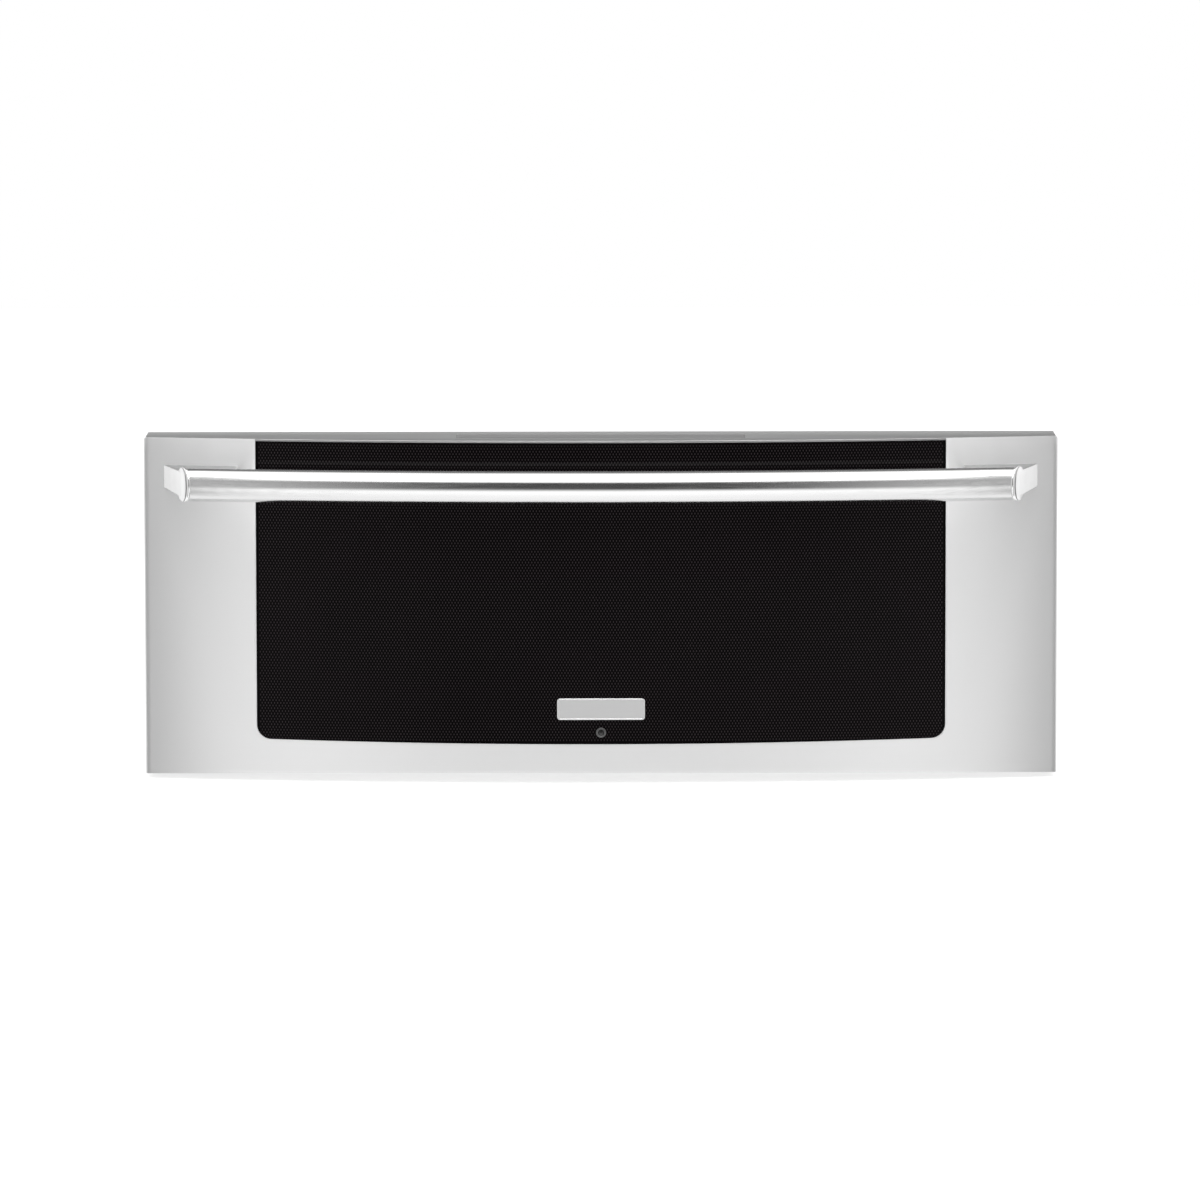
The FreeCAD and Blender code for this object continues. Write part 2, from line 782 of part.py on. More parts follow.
def build_heating():
    """Heating element on the cavity's floor, with its clips, plate, sensor and cut-out."""
    body = doc.addObject("PartDesign::Body", "Body")
    path = draw(body, "XY", element_path(), "element_z", closed=False)
    ring = body.newObject("Sketcher::SketchObject", "Section")
    support = [one for one in body.Origin.OriginFeatures if one.Role == "XZ_Plane"][0]
    ring.AttachmentSupport = [(support, "")]
    ring.MapMode = "FlatFace"
    bind(ring, "AttachmentOffset.Base.z", "-(element_end)")
    centre = FreeCAD.Vector(number("element_leg"), number("element_z"), 0)
    ring.addGeometry(Part.Circle(centre, FreeCAD.Vector(0, 0, 1), number("element_radius")))
    tie_point(ring, 0, 3, "element_leg", "element_z")
    held = ring.addConstraint(Sketcher.Constraint("Radius", 0, number("element_radius")))
    bind(ring, "Constraints[%d]" % held, "element_radius")
    pipe = body.newObject("PartDesign::AdditivePipe", "Pipe")
    pipe.Profile = ring
    pipe.Spine = (path, [])
    body.Tip = pipe
    node("heating_element", fuse(body, mirrored(body)))

    clips = []
    for x, y in (("element_leg", "0"), ("element_leg_two", "0"), ("element_leg_three", "0")):
        for sign in ("-", ""):
            middle = "%s(%s)" % (sign, x)
            wide = ("%s - clip_width/2" % middle, "%s + clip_width/2" % middle)
            deep = ("%s - clip_width/2" % y, "%s + clip_width/2" % y)
            post = box(wide, deep, ("floor_top", "element_z + element_radius + clip_wall"))
            clips.append(cut(post, rod("Y", (middle, "element_z"), deep, "element_radius + fit_gap")))
    node("element_clips", group(clips))

    skin = ("rear_in - element_plate_gauge", "rear_in")
    high = ("element_z - element_plate_height/2", "element_z + element_plate_height/2")
    plate = box(both("element_plate_width/2"), skin, high)
    node("element_flange", cut(plate, *element_bores(skin)))

    probe_z = "floor_top + sensor_rise"
    probe = rod("Y", ("sensor_side", probe_z), ("rear_in - sensor_length", "rear_out"), "sensor_radius")
    wide = ("sensor_side - sensor_plate_width/2", "sensor_side + sensor_plate_width/2")
    high = (probe_z + " - sensor_plate_height/2", probe_z + " + sensor_plate_height/2")
    plate = box(wide, ("rear_in - sensor_plate_gauge", "rear_in"), high)
    node("temperature_sensor", fuse(probe, plate))

    middle_z = "floor_top + cutout_rise"
    can = rod("Y", ("cutout_side", middle_z), ("rear_in - cutout_height", "rear_in"), "cutout_radius")
    wide = ("cutout_side - cutout_plate_width/2", "cutout_side + cutout_plate_width/2")
    high = (middle_z + " - cutout_plate_height/2", middle_z + " + cutout_plate_height/2")
    plate = box(wide, ("rear_in - liner_gauge", "rear_in"), high)
    node("thermal_cutout", fuse(can, plate))


def build_terminal_box():
    """Terminal box on the rear panel: cover, power board and the bushing for the cable."""
    high = ("cover_rise", "cover_top")
    shell = box(both("cover_width/2"), ("rear_face", "cover_rear"), high)
    inner = box(
        both("cover_width/2 - sheet_gauge"),
        ("rear_face", "cover_rear - sheet_gauge"),
        (high[0] + " + sheet_gauge", high[1] + " - sheet_gauge"),
    )
    outer = "cover_width/2 + cover_flange"
    skin = ("rear_face", "rear_face + sheet_gauge")
    flanges = [
        box(("-(%s)" % outer, "-cover_width/2"), skin, high),
        box(("cover_width/2", outer), skin, high),
    ]
    at = ("bushing_side", "bushing_z")
    gland = rod("Y", at, ("cover_rear - sheet_gauge", "cover_rear"), "bushing_barrel + fit_gap")
    cover = cut(fuse(cut(shell, inner), *flanges), gland, *cover_screw_bores(skin))
    node("terminal_cover", cover)

    start = "cover_rear - sheet_gauge - bushing_flange_height"
    end = "cover_rear + bushing_flange_height"
    barrel = rod("Y", at, (start, end), "bushing_barrel")
    outside = rod("Y", at, ("cover_rear", end), "bushing_flange")
    inside = rod("Y", at, (start, "cover_rear - sheet_gauge"), "bushing_flange")
    node("cord_bushing", cut(fuse(barrel, outside, inside), rod("Y", at, (start, end), "bushing_bore")))

    wide = ("-power_board_side - power_board_width/2", "power_board_width/2 - power_board_side")
    high = ("power_board_top - power_board_height", "power_board_top")
    pieces = [box(wide, ("power_board_front", "power_board_rear"), high)]
    for x in (wide[0] + " + post_inset", wide[1] + " - post_inset"):
        for z in (high[0] + " + post_inset", high[1] + " - post_inset"):
            pieces.append(rod("Y", (x, z), ("rear_face", "power_board_front"), "post_radius"))
    for step in range(3):
        left = wide[0] + " + 2*post_inset + %d*relay_pitch" % step
        pieces.append(box(
            (left, left + " + relay_width"),
            ("power_board_rear", "power_board_rear + relay_depth"),
            (high[1] + " - post_inset/2 - relay_height", high[1] + " - post_inset/2"),
        ))
    left = wide[0] + " + 2*post_inset"
    pieces.append(box(
        (left, left + " + connector_width"),
        ("power_board_rear", "power_board_rear + connector_depth"),
        (high[0] + " + post_inset/2", high[0] + " + post_inset/2 + connector_height"),
    ))
    node("power_board", group(pieces))


def build_front():
    """Drawer front: bowed steel skin, glass, top strip, inner tray, insulation and gasket."""
    near = "front_half - front_corner"
    bend_y = "front_side + front_corner"
    outer = [
        ("-front_half", "front_back"), ("-front_half", bend_y, "bend_radius", 1),
        ("-(%s)" % near, bow(near), "bow_radius", 1), (near, bow(near), "bend_radius", 1),
        ("front_half", bend_y), ("front_half", "front_back"),
    ]
    inset = "front_half - front_gauge"
    past = "front_back + front_gauge"
    inner = [
        ("-(%s)" % inset, past),
        ("-(%s)" % inset, bow(inset, "front_gauge"), "bow_radius - front_gauge", 1),
        (inset, bow(inset, "front_gauge")), (inset, past),
    ]
    skin = prism("XY", outer, ("front_lift", "front_top"))
    hollow(skin, "XY", inner, ("skirt_top + front_gauge", "front_top"))
    hollow(skin, "XY", inner, ("front_lift", "skirt_top"))
    arch = [
        ("-front_half", "front_lift", "arch_radius", -1), ("front_half", "front_lift"),
        ("front_half", "front_lift - front_gauge"), ("-front_half", "front_lift - front_gauge"),
    ]
    hollow(skin, "XZ", arch, ("front_nose - front_gauge", "front_back"))
    over = "front_top + front_gauge"
    opening = [
        ("-opening_half", over), ("-opening_half", "opening_foot + opening_corner", "opening_corner", 1),
        ("-sag_half", "opening_foot", "sag_radius", 1), ("sag_half", "opening_foot", "opening_corner", 1),
        ("opening_half", "opening_foot + opening_corner"), ("opening_half", over),
    ]
    hollow(skin, "XZ", opening, ("front_nose - front_gauge", bow("opening_half", "2*front_gauge")))
    shoulder = "front_top - front_corner"
    for sign, turn in (("", -1), ("-", 1)):
        outside = sign + "front_half"
        tip = [("%s(%s)" % (sign, near), "front_top", "front_corner", turn), (outside, shoulder),
               (outside, "front_top")]
        hollow(skin, "XZ", tip, ("front_nose - front_gauge", "front_back"))
    bores = [
        radial_rod(x, "bar_z", "2*front_gauge", "front_gauge", "handle_screw_radius + fit_gap")
        for x in handle_screw_spots()
    ]
    node("front_panel", cut(skin, *bores))

    glass = bowed_plate(both("glass_half"), ("glass_foot", "glass_head"), "glass_inset", "glass_thickness")
    lens_z = "front_lift + lens_rise"
    hole = rod("Y", ("0", lens_z), ("front_nose", "front_nose + 2*glass_rear"), "lens_stem + fit_gap")
    node("glass_insert", cut(glass, hole))

    clamp = bowed_plate(
        ("clamp_inner", "clamp_outer"), ("glass_foot", "glass_head - 4*glass_lap"),
        "glass_rear + seat_gap", "clamp_thickness",
    )
    node("glass_clamps", group([clamp, mirrored(clamp)]))

    gap = "front_gauge + trim_gap"
    lip = "opening_half - trim_gap"
    wing = "bow_radius - (%s)" % gap
    strip = [
        ("-tray_half", "front_back"), ("-tray_half", bow("tray_half", gap), wing, 1),
        ("-(%s)" % lip, bow(lip, gap)), ("-(%s)" % lip, bow(lip), "bow_radius", 1),
        (lip, bow(lip)), (lip, bow(lip, gap), wing, 1),
        ("tray_half", bow("tray_half", gap)), ("tray_half", "front_back"),
    ]
    trim = prism("XY", strip, ("trim_under", "front_top"))
    seat_y = ("front_nose + overlay_setback", "front_nose + overlay_setback + overlay_depth")
    thick = ("front_top - overlay_thickness", "front_top")
    node("top_trim", cut(trim, box(both("overlay_width/2"), seat_y, thick)))

    film = (seat_y[0] + " + overlay_gap", seat_y[1] + " - overlay_gap")
    node("control_overlay", box(both("overlay_width/2 - overlay_gap"), film, thick))

    board_top = "trim_under - post_height"
    board_y = ("front_nose + overlay_setback", "front_nose + overlay_setback + board_depth")
    board = box(both("board_width/2"), board_y, (board_top + " - board_thickness", board_top))
    node("control_board", board)
    posts = [
        rod("Z", (x, y), (board_top, "trim_under"), "post_radius")
        for x in both("board_width/2 - post_inset")
        for y in (board_y[0] + " + post_inset", board_y[1] + " - post_inset")
    ]
    node("board_posts", group(posts))

    shell = box(both("tray_half"), ("front_back - tray_depth", "front_back"), ("tray_under", "tray_top"))
    inside = box(
        both("tray_half - liner_gauge"),
        ("front_back - tray_depth", "tray_inside"),
        ("tray_under + liner_gauge", "tray_top - liner_gauge"),
    )
    wall = ("tray_inside", "front_back")
    bores = drawer_screw_bores(wall) + vent_slots(wall, "0")
    bores += [rod("Y", (x, "vent_z"), wall, "rivet_radius") for x in both("rivet_spread")]
    node("inner_front_panel", cut(cut(shell, inside), *bores))

    start = "tray_under + liner_gauge"
    batt_y = ("tray_inside - front_insulation", "tray_inside")
    batt = box(both("front_insulation_width/2"), batt_y, (start, start + " + front_insulation_height"))
    bores = drawer_screw_bores(batt_y) + [box(
        both("4*vent_pitch"), batt_y, ("vent_z - vent_slot_height", "vent_z + vent_slot_height"),
    )]
    node("front_insulation", cut(batt, *bores))

    deep = ("front_back", "front_back + gasket_thickness")
    ring = box(both("gasket_half"), deep, ("gasket_foot", "gasket_head"))
    high = ("gasket_foot + gasket_width", "gasket_head - gasket_width")
    node("front_gasket", cut(ring, box(both("gasket_half - gasket_width"), deep, high)))


def build_badges():
    """Bare plate and round indicator at the foot of the glass."""
    plate_z = "front_lift + plate_rise"
    high = (plate_z + " - plate_height/2", plate_z + " + plate_height/2")
    sheet_metal = bowed_plate(
        both("plate_width/2"), high, "glass_inset - seat_gap - plate_thickness", "plate_thickness",
    )
    corners = rounded(both("plate_width/2"), high, "plate_corner")
    outline = prism("XZ", corners, ("front_nose - glass_rear", "front_nose + glass_rear"))
    node("nameplate", common(sheet_metal, outline))

    at = ("0", "front_lift + lens_rise")
    surface = "front_nose + glass_inset"
    behind = "front_nose + glass_rear"
    cap = rod("Y", at, (surface + " - lens_stand", surface), "lens_radius")
    stem = rod("Y", at, (surface, behind), "lens_stem")
    node("indicator_lens", fuse(cap, stem))
    node("indicator_lamp", rod("Y", at, (behind, behind + " + lamp_length"), "lamp_radius"))


def handle_screw_spots():
    """Where the handle's screws meet the front, as X."""
    steps = ("foot_inner + handle_screw_inset", "foot_outer - handle_screw_inset")
    return [sign + "(" + step + ")" for sign in ("-", "") for step in steps]


def build_handle():
    """Bowed bar with a mitred bracket at each end."""
    high = ("bar_low", "bar_high")
    seam_front = "mitre_front_x - cap_length"
    seam_rear = "mitre_rear_x - cap_length"
    ahead = "front_nose - bar_standoff - 2*bar_radius"
    span = [
        (seam_front, "mitre_front_y"), (seam_front, ahead), ("-(%s)" % seam_front, ahead),
        ("-(%s)" % seam_front, "mitre_front_y"), ("-(%s)" % seam_rear, "mitre_rear_y"),
        (seam_rear, "mitre_rear_y"),
    ]
    solid_bar = common(bar_ring("bar_radius"), prism("XY", span, high))
    node("handle_bar", cut(solid_bar, bar_ring("bar_radius - bar_wall")))
    bar_seat = common(bar_ring("bar_radius + seat_gap"), prism("XY", span, high))

    slab = [
        ("mitre_rear_x", "mitre_rear_y"), ("mitre_front_x", "mitre_front_y"),
        (seam_front, "mitre_front_y"), (seam_rear, "mitre_rear_y"),
    ]
    cap = common(bar_ring("cap_radius"), prism("XY", slab, high))
    inner_y = "bow_axis - sqrt(bar_arc^2 - foot_inner^2)"
    web = [
        ("foot_inner", bow("foot_inner", "-seat_gap"), "foot_arc", 1), ("foot_outer", "foot_y"),
        ("handle_reach", "end_y", "bar_arc", -1), ("foot_inner", inner_y),
    ]
    foot = prism("XY", web, ("bar_z - foot_height/2", "bar_z + foot_height/2"))
    right_spots = handle_screw_spots()[2:]
    bores = [
        radial_rod(x, "bar_z", "0", "handle_screw_depth + fit_gap", "handle_screw_radius + fit_gap")
        for x in right_spots
    ]
    pair("handle_bracket", cut(cut(fuse(foot, cap), bar_seat), *bores))

    screws = []
    seat = "front_gauge + glass_gap"
    for x in handle_screw_spots():
        shank = radial_rod(x, "bar_z", seat, "handle_screw_depth", "handle_screw_radius")
        crown = seat + " + handle_head_height"
        head = radial_rod(x, "bar_z", crown, "-(%s)" % seat, "handle_head_radius")
        screws.append(fuse(shank, head))
    node("handle_screws", group(screws))


def drawer_screw_spots():
    """Where the screws between the pan and the front stand, as X and Z."""
    rows = ("pan_under + drawer_screw_low", "pan_top - drawer_screw_drop")
    return [(x, z) for x in both("drawer_screw_spread") for z in rows]


def drawer_screw_bores(along):
    """Holes for the screws between the pan and the front."""
    return [rod("Y", at, along, "screw_radius + fit_gap") for at in drawer_screw_spots()]


def vent_slots(along, shift):
    """The row of slots of the moisture vent, moved sideways by shift."""
    slots = []
    for step in range(-3, 3):
        middle = "vent_pitch*(%d)/2 + (%s)" % (2*step + 1, shift)
        wide = (middle + " - vent_slot_width/2", middle + " + vent_slot_width/2")
        slots.append(box(wide, along, ("vent_z - vent_slot_height/2", "vent_z + vent_slot_height/2")))
    return slots


def build_drawer():
    """Drawer pan with its screws, and the brackets that carry it on the slides."""
    wide = both("pan_half")
    deep = ("front_back", "pan_rear")
    pan = prism("XY", rounded(wide, deep, "pan_corner"), ("pan_under", "pan_top"))
    edge = "pan_half + pan_rim"
    bend = "pan_corner + pan_rim"
    shoulder = "pan_rear - pan_corner"
    start = "front_back + 2*pan_corner"
    rim = [
        ("-(%s)" % edge, start), (edge, start), (edge, shoulder, bend, 1),
        ("(%s) - (%s)" % (edge, bend), "pan_rear + pan_rim"),
        ("(%s) - (%s)" % (bend, edge), "pan_rear + pan_rim", bend, 1), ("-(%s)" % edge, shoulder),
    ]
    grow(pan, "XY", rim, ("pan_top - pan_gauge", "pan_top"))
    inside = rounded(
        both("pan_half - pan_gauge"), ("pan_front", "pan_rear - pan_gauge"), "pan_corner - pan_gauge",
    )
    hollow(pan, "XY", inside, ("pan_floor", "pan_top"))
    node("drawer_pan", cut(pan, *drawer_screw_bores(("front_back", "pan_front"))))

    screws = [
        screw("Y", at, "pan_front", -1, "drawer_screw_length") for at in drawer_screw_spots()
    ]
    node("drawer_screws", group(screws))

    inner = "rail_face - bracket_gauge"
    toe = "rail_face - bracket_foot"
    under = "pan_under - bracket_gauge"
    upper = "slide_z + bracket_rise"
    profile = [
        (toe, under), ("rail_face", under), ("rail_face", upper), (inner, upper),
        (inner, "pan_under"), (toe, "pan_under"),
    ]
    angle = prism("XZ", profile, ("front_back", "slide_rear - bracket_setback"))
    tab = box(
        ("rail_face", "rail_face + bracket_tab"), ("front_back", "front_back + bracket_gauge"),
        ("slide_z - bracket_rise", upper),
    )
    pair("rail_bracket", fuse(angle, tab))


def build_vent():
    """Moisture vent above the pan: a slider with slots, on two rivets behind the inner panel's slots."""
    groove = "rivet_radius + running_gap"
    end = "rivet_spread + %s + slider_end" % groove
    thick = ("front_back", "slider_rear")
    plate = box(
        ("-(%s) - vent_travel" % end, end), thick, ("vent_z - slider_height/2", "vent_z + slider_height/2"),
    )
    foot = "vent_z + slider_height/2 - slider_tab_height"
    tab = box(
        both("slider_tab_width/2"), ("slider_rear", "slider_rear + slider_tab_reach"),
        (foot, foot + " + slider_tab_height"),
    )
    grooves = []
    for x in both("rivet_spread"):
        start = "(%s) - vent_travel" % x
        grooves.append(fuse(
            rod("Y", (start, "vent_z"), thick, groove),
            rod("Y", (x, "vent_z"), thick, groove),
            box((start, x), thick, ("vent_z - (%s)" % groove, "vent_z + (%s)" % groove)),
        ))
    slots = vent_slots(thick, "-vent_travel")
    node("vent_slider", cut(fuse(plate, tab), *(slots + grooves)))

    rivets = []
    for x in both("rivet_spread"):
        at = (x, "vent_z")
        seat = "slider_rear + running_gap"
        shank = rod("Y", at, ("tray_inside", seat), "rivet_radius")
        rivets.append(fuse(shank, rod("Y", at, (seat, seat + " + rivet_head_height"), "rivet_head")))
    node("vent_rivets", group(rivets))


def rail_profile(corners):
    """Corners of a rail's section, given as distance from the liner and height about the slide's middle."""
    return [("liner_in - (%s)" % reach, "slide_z + (%s)" % height) for reach, height in corners]


def both_ways(half):
    """A section that is the same below the slide's middle as above it."""
    return half + [(reach, "-(%s)" % height) for reach, height in reversed(half)]


def build_slides():
    """Two ball slides of three rails each, with a cage of balls between each two rails."""
    along = ("slide_front", "slide_rear")
    outer_lip = "outer_bed - outer_rail_lip"
    outer = both_ways([
        ("0", "outer_top"), ("outer_rail_reach", "outer_top"), ("outer_rail_reach", outer_lip),
        ("outer_rail_reach - rail_gauge", outer_lip), ("outer_rail_reach - rail_gauge", "outer_bed"),
        ("rail_gauge", "outer_bed"),
    ])
    pair("outer_rail", prism("XZ", rail_profile(outer), along))

    mid_lip = "mid_top + mid_rail_lip"
    mid_turn = "mid_rail_reach - rail_lip_gauge"
    mid = both_ways([
        ("mid_rail_set", "mid_top"), (mid_turn, "mid_top"), (mid_turn, mid_lip),
        ("mid_rail_reach", mid_lip), ("mid_rail_reach", "mid_bed"), ("mid_rail_set + rail_gauge", "mid_bed"),
    ])
    pair("mid_rail", prism("XZ", rail_profile(mid), along))

    inner_lip = "inner_top + inner_rail_lip"
    inner_turn = "inner_rail_set + rail_lip_gauge"
    inner = both_ways([
        ("slide_width", "inner_top"), (inner_turn, "inner_top"), (inner_turn, inner_lip),
        ("inner_rail_set", inner_lip), ("inner_rail_set", "inner_bed"), ("inner_web", "inner_bed"),
    ])
    rail = prism("XZ", rail_profile(inner), along)
    at = ("lever_y", "slide_z")
    neck = "liner_in - lever_near + running_gap"
    stud = rod("X", at, ("liner_in - inner_web", neck), "stud_radius")
    crown = rod("X", at, (neck, neck + " + stud_head_height"), "stud_head")
    pair("inner_rail", fuse(rail, stud, crown))

    for kind in ("outer", "inner"):
        sizes = [kind + "_" + one for one in ("cage_set", "cage_reach", "ball_set", "ball_z")]
        pair(kind + "_ball_cage", ball_cage(*sizes))

    wide = ("liner_in - lever_far", "liner_in - lever_near")
    arm = box(
        wide, ("lever_y - lever_reach", "lever_y + lever_reach"),
        ("slide_z - lever_height/2", "slide_z + lever_height/2"),
    )
    hub = rod("X", at, wide, "lever_hub")
    tab = box(
        wide, ("lever_y - lever_reach - lever_tab/2", "lever_y - lever_reach + lever_tab/2"),
        ("slide_z - lever_tab_height/2", "slide_z + lever_tab_height/2"),
    )
    hook = box(
        wide, ("lever_y + lever_reach - lever_tab/2", "lever_y + lever_reach"),
        ("slide_z - lever_height/2", "slide_z + lever_height"),
    )
    pair("glide_lever", cut(fuse(arm, hub, tab, hook), rod("X", at, wide, "stud_radius + running_gap")))


def ball_cage(start, reach, ball_set, ball_z):
    """One bent strip with a row of balls above and below."""
    top = "%s + cage_gauge/2" % ball_z
    under = "%s - cage_gauge/2" % ball_z
    profile = both_ways([(start, top), (reach, top), (reach, under), (start + " + cage_gauge", under)])
    along = ("slide_middle - cage_length/2", "slide_middle + cage_length/2")
    strip = prism("XZ", rail_profile(profile), along)
    x = "liner_in - %s" % ball_set
    holes = []
    balls = []
    for step in range(-2, 3):
        y = "slide_middle + ball_pitch*(%d)" % step
        for sign in ("", "-"):
            z = "slide_z + (%s(%s))" % (sign, ball_z)
            window = (z + " - cage_gauge", z + " + cage_gauge")
            holes.append(rod("Z", (x, y), window, "ball_radius + ball_play"))
            balls.append(ball(x, y, z, "ball_radius"))
    return group([cut(strip, *holes)] + balls)


def check_and_write():
    """Stop on any object that failed, then write one file for each sub-part."""
    doc.recompute()
    for item in doc.Objects:
        if "Invalid" in item.State or "Error" in item.State:
            raise RuntimeError("%s (%s) failed" % (item.Label, item.Name))
    os.makedirs("parts", exist_ok=True)
    for item in nodes:
        shape = item.Shape
        if shape.isNull() or not shape.isValid() or not shape.Solids:
            raise RuntimeError(item.Label + " has no sound shape")
        shape.exportStep("parts/%s.step" % item.Label)


fill_sheet()
build_housing()
build_cavity()
build_heating()
build_terminal_box()
build_front()
build_badges()
build_handle()
build_drawer()
build_vent()
build_slides()
check_and_write()
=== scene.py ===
import json
import math

import bmesh
import bpy
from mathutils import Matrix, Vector, noise

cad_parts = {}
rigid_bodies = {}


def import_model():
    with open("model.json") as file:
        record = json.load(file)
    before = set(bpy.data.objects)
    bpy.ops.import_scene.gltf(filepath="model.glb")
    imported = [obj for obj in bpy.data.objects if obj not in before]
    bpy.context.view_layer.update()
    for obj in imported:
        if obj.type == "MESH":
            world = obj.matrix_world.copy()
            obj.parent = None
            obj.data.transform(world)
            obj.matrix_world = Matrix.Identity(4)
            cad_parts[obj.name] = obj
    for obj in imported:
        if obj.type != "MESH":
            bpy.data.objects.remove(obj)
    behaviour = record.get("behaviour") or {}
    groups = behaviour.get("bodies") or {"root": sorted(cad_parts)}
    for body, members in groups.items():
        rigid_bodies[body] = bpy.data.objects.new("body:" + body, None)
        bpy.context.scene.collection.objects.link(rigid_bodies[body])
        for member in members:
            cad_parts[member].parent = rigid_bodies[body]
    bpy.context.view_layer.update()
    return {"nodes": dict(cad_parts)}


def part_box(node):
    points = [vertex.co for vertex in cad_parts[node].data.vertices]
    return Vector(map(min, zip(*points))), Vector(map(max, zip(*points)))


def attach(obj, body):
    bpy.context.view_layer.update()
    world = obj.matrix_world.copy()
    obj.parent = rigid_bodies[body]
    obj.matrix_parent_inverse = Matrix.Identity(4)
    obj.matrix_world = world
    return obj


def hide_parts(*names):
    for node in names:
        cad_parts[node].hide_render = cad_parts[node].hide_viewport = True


for leftover in list(bpy.data.objects):
    bpy.data.objects.remove(leftover)

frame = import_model()

MM = 0.001
SIDES = {"left": -1, "right": 1}
SHARP_ANGLE = math.radians(32)

# Sizes of the bowed front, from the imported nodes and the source's own values
FRONT_LOW, FRONT_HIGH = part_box("front_panel")
GLASS_LOW, GLASS_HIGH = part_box("glass_insert")
BOW_SAG = 35 * MM
SHEET = 1.5 * MM
BEND = 1.3 * MM
TIP = 2.5 * MM
ARCH = 4.6 * MM
LAP = 8 * MM
OPENING_SAG = 2.3 * MM
OPENING_CORNER = 12 * MM
GLASS_INSET = 1.6 * MM
GLASS_THICK = 4 * MM
HALF = FRONT_HIGH.x
NOSE = FRONT_LOW.y
FRONT_BACK = FRONT_HIGH.y
RADIUS = (HALF**2 + BOW_SAG**2) / (2 * BOW_SAG)
AXIS_Y = NOSE + RADIUS
OPENING_HALF = GLASS_HIGH.x - LAP
SAG_HALF = OPENING_HALF - OPENING_CORNER
OPENING_FOOT = GLASS_LOW.z + LAP + OPENING_SAG

# Sizes of the handle, whose bar is a little lower and thicker than the CAD node's
BAR_LOW, BAR_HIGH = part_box("handle_bar")
FOOT_LOW, FOOT_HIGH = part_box("right_handle_bracket")
BAR_DROP = 1.45 * MM
BAR_SWELL = 0.35 * MM
BAR_SIDES = 48
FOOT_SETBACK = 2.2 * MM
FOOT_HEIGHT = 19.0 * MM
FOOT_FLARE = 0.12
MITRE = 17.3 * MM
CAP_LENGTH = 4.0 * MM
BAR_Z = (BAR_LOW.z + BAR_HIGH.z) / 2 - BAR_DROP
BAR_RADIUS = (BAR_HIGH.z - BAR_LOW.z) / 2 + BAR_SWELL
BAR_ARC = AXIS_Y - BAR_LOW.y - BAR_RADIUS
FOOT_OUTER = FOOT_HIGH.x - FOOT_SETBACK
FOOT_INNER = FOOT_LOW.x
END_Y = AXIS_Y - math.sqrt(BAR_ARC**2 - (FOOT_OUTER - MITRE)**2)


def bow_y(x, inset=0.0):
    """Y of the front's bowed face at x, or of the face that lies inset behind it."""
    return AXIS_Y - math.sqrt((RADIUS - inset)**2 - x**2)


def bowed(values, inset=0.0):
    """Points in plan of the bowed face at each x."""
    return [(x, bow_y(x, inset)) for x in values]


FOOT_Y = bow_y(FOOT_OUTER)


def spread(start, end, count):
    """Evenly spaced values from start to end, both included."""
    return [start + (end - start) * step / count for step in range(count + 1)]


def arc(start, end, count):
    """Evenly spaced angles in radians between two that are given in degrees."""
    return [math.radians(angle) for angle in spread(start, end, count)]


def circle(count):
    """Evenly spaced angles of a full turn, in radians."""
    return [2 * math.pi * step / count for step in range(count)]


# Meshes

def plain_mesh(name, points, faces, *materials):
    """A mesh of the given points, faces and materials."""
    mesh = bpy.data.meshes.new(name)
    mesh.from_pydata([tuple(point) for point in points], [], faces)
    for material in materials:
        mesh.materials.append(material)
    return mesh


def make_mesh(name, points, faces, *materials):
    """A mesh with outward normals and smooth faces."""
    mesh = plain_mesh(name, points, faces, *materials)
    work = bmesh.new()
    work.from_mesh(mesh)
    bmesh.ops.recalc_face_normals(work, faces=work.faces)
    work.to_mesh(mesh)
    work.free()
    finish_mesh(mesh)
    return mesh


def finish_mesh(mesh):
    """Smooth faces with the sharp edges kept sharp."""
    for face in mesh.polygons:
        face.use_smooth = True
    mesh.set_sharp_from_angle(angle=SHARP_ANGLE)


def show(name, data):
    """Puts a mesh, a lamp or a camera into the scene."""
    made = bpy.data.objects.new(name, data)
    bpy.context.scene.collection.objects.link(made)
    return made


def modify(made, kind, **settings):
    """Adds a modifier with the given settings to an object."""
    added = made.modifiers.new(kind.lower(), kind)
    for key, value in settings.items():
        setattr(added, key, value)


def settle(made):
    """Turns an object's modifiers into plain mesh."""
    graph = bpy.context.evaluated_depsgraph_get()
    mesh = bpy.data.meshes.new_from_object(made.evaluated_get(graph))
    made.modifiers.clear()
    made.data = mesh
    finish_mesh(mesh)


def weld(mesh):
    """Joins points that lie on each other, so that no face is left without area."""
    coincident = 0.00005 * MM
    work = bmesh.new()
    work.from_mesh(mesh)
    bmesh.ops.remove_doubles(work, verts=work.verts, dist=coincident)
    work.to_mesh(mesh)
    work.free()


def piece(name, mesh, body, node):
    """A piece of the part: it rides on a body and stands for a node."""
    made = show(name, mesh)
    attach(made, body)
    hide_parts(node)
    return made


def shaped(name, shape, material, body, node):
    """A piece of one material, from its points and faces."""
    return piece(name, make_mesh(name, *shape, material), body, node)


def loft(rings, wrap=False):
    """Points and faces of a skin over closed rings of equal count, capped unless it wraps round."""
    count = len(rings[0])
    points = [point for ring in rings for point in ring]
    faces = []
    rows = len(rings) if wrap else len(rings) - 1
    for row in range(rows):
        low = row * count
        high = (row + 1) % len(rings) * count
        for step in range(count):
            after = (step + 1) % count
            faces.append((low + step, low + after, high + after, high + step))
    if not wrap:
        last = rows * count
        faces.append(tuple(reversed(range(count))))
        faces.append(tuple(range(last, last + count)))
    return points, faces


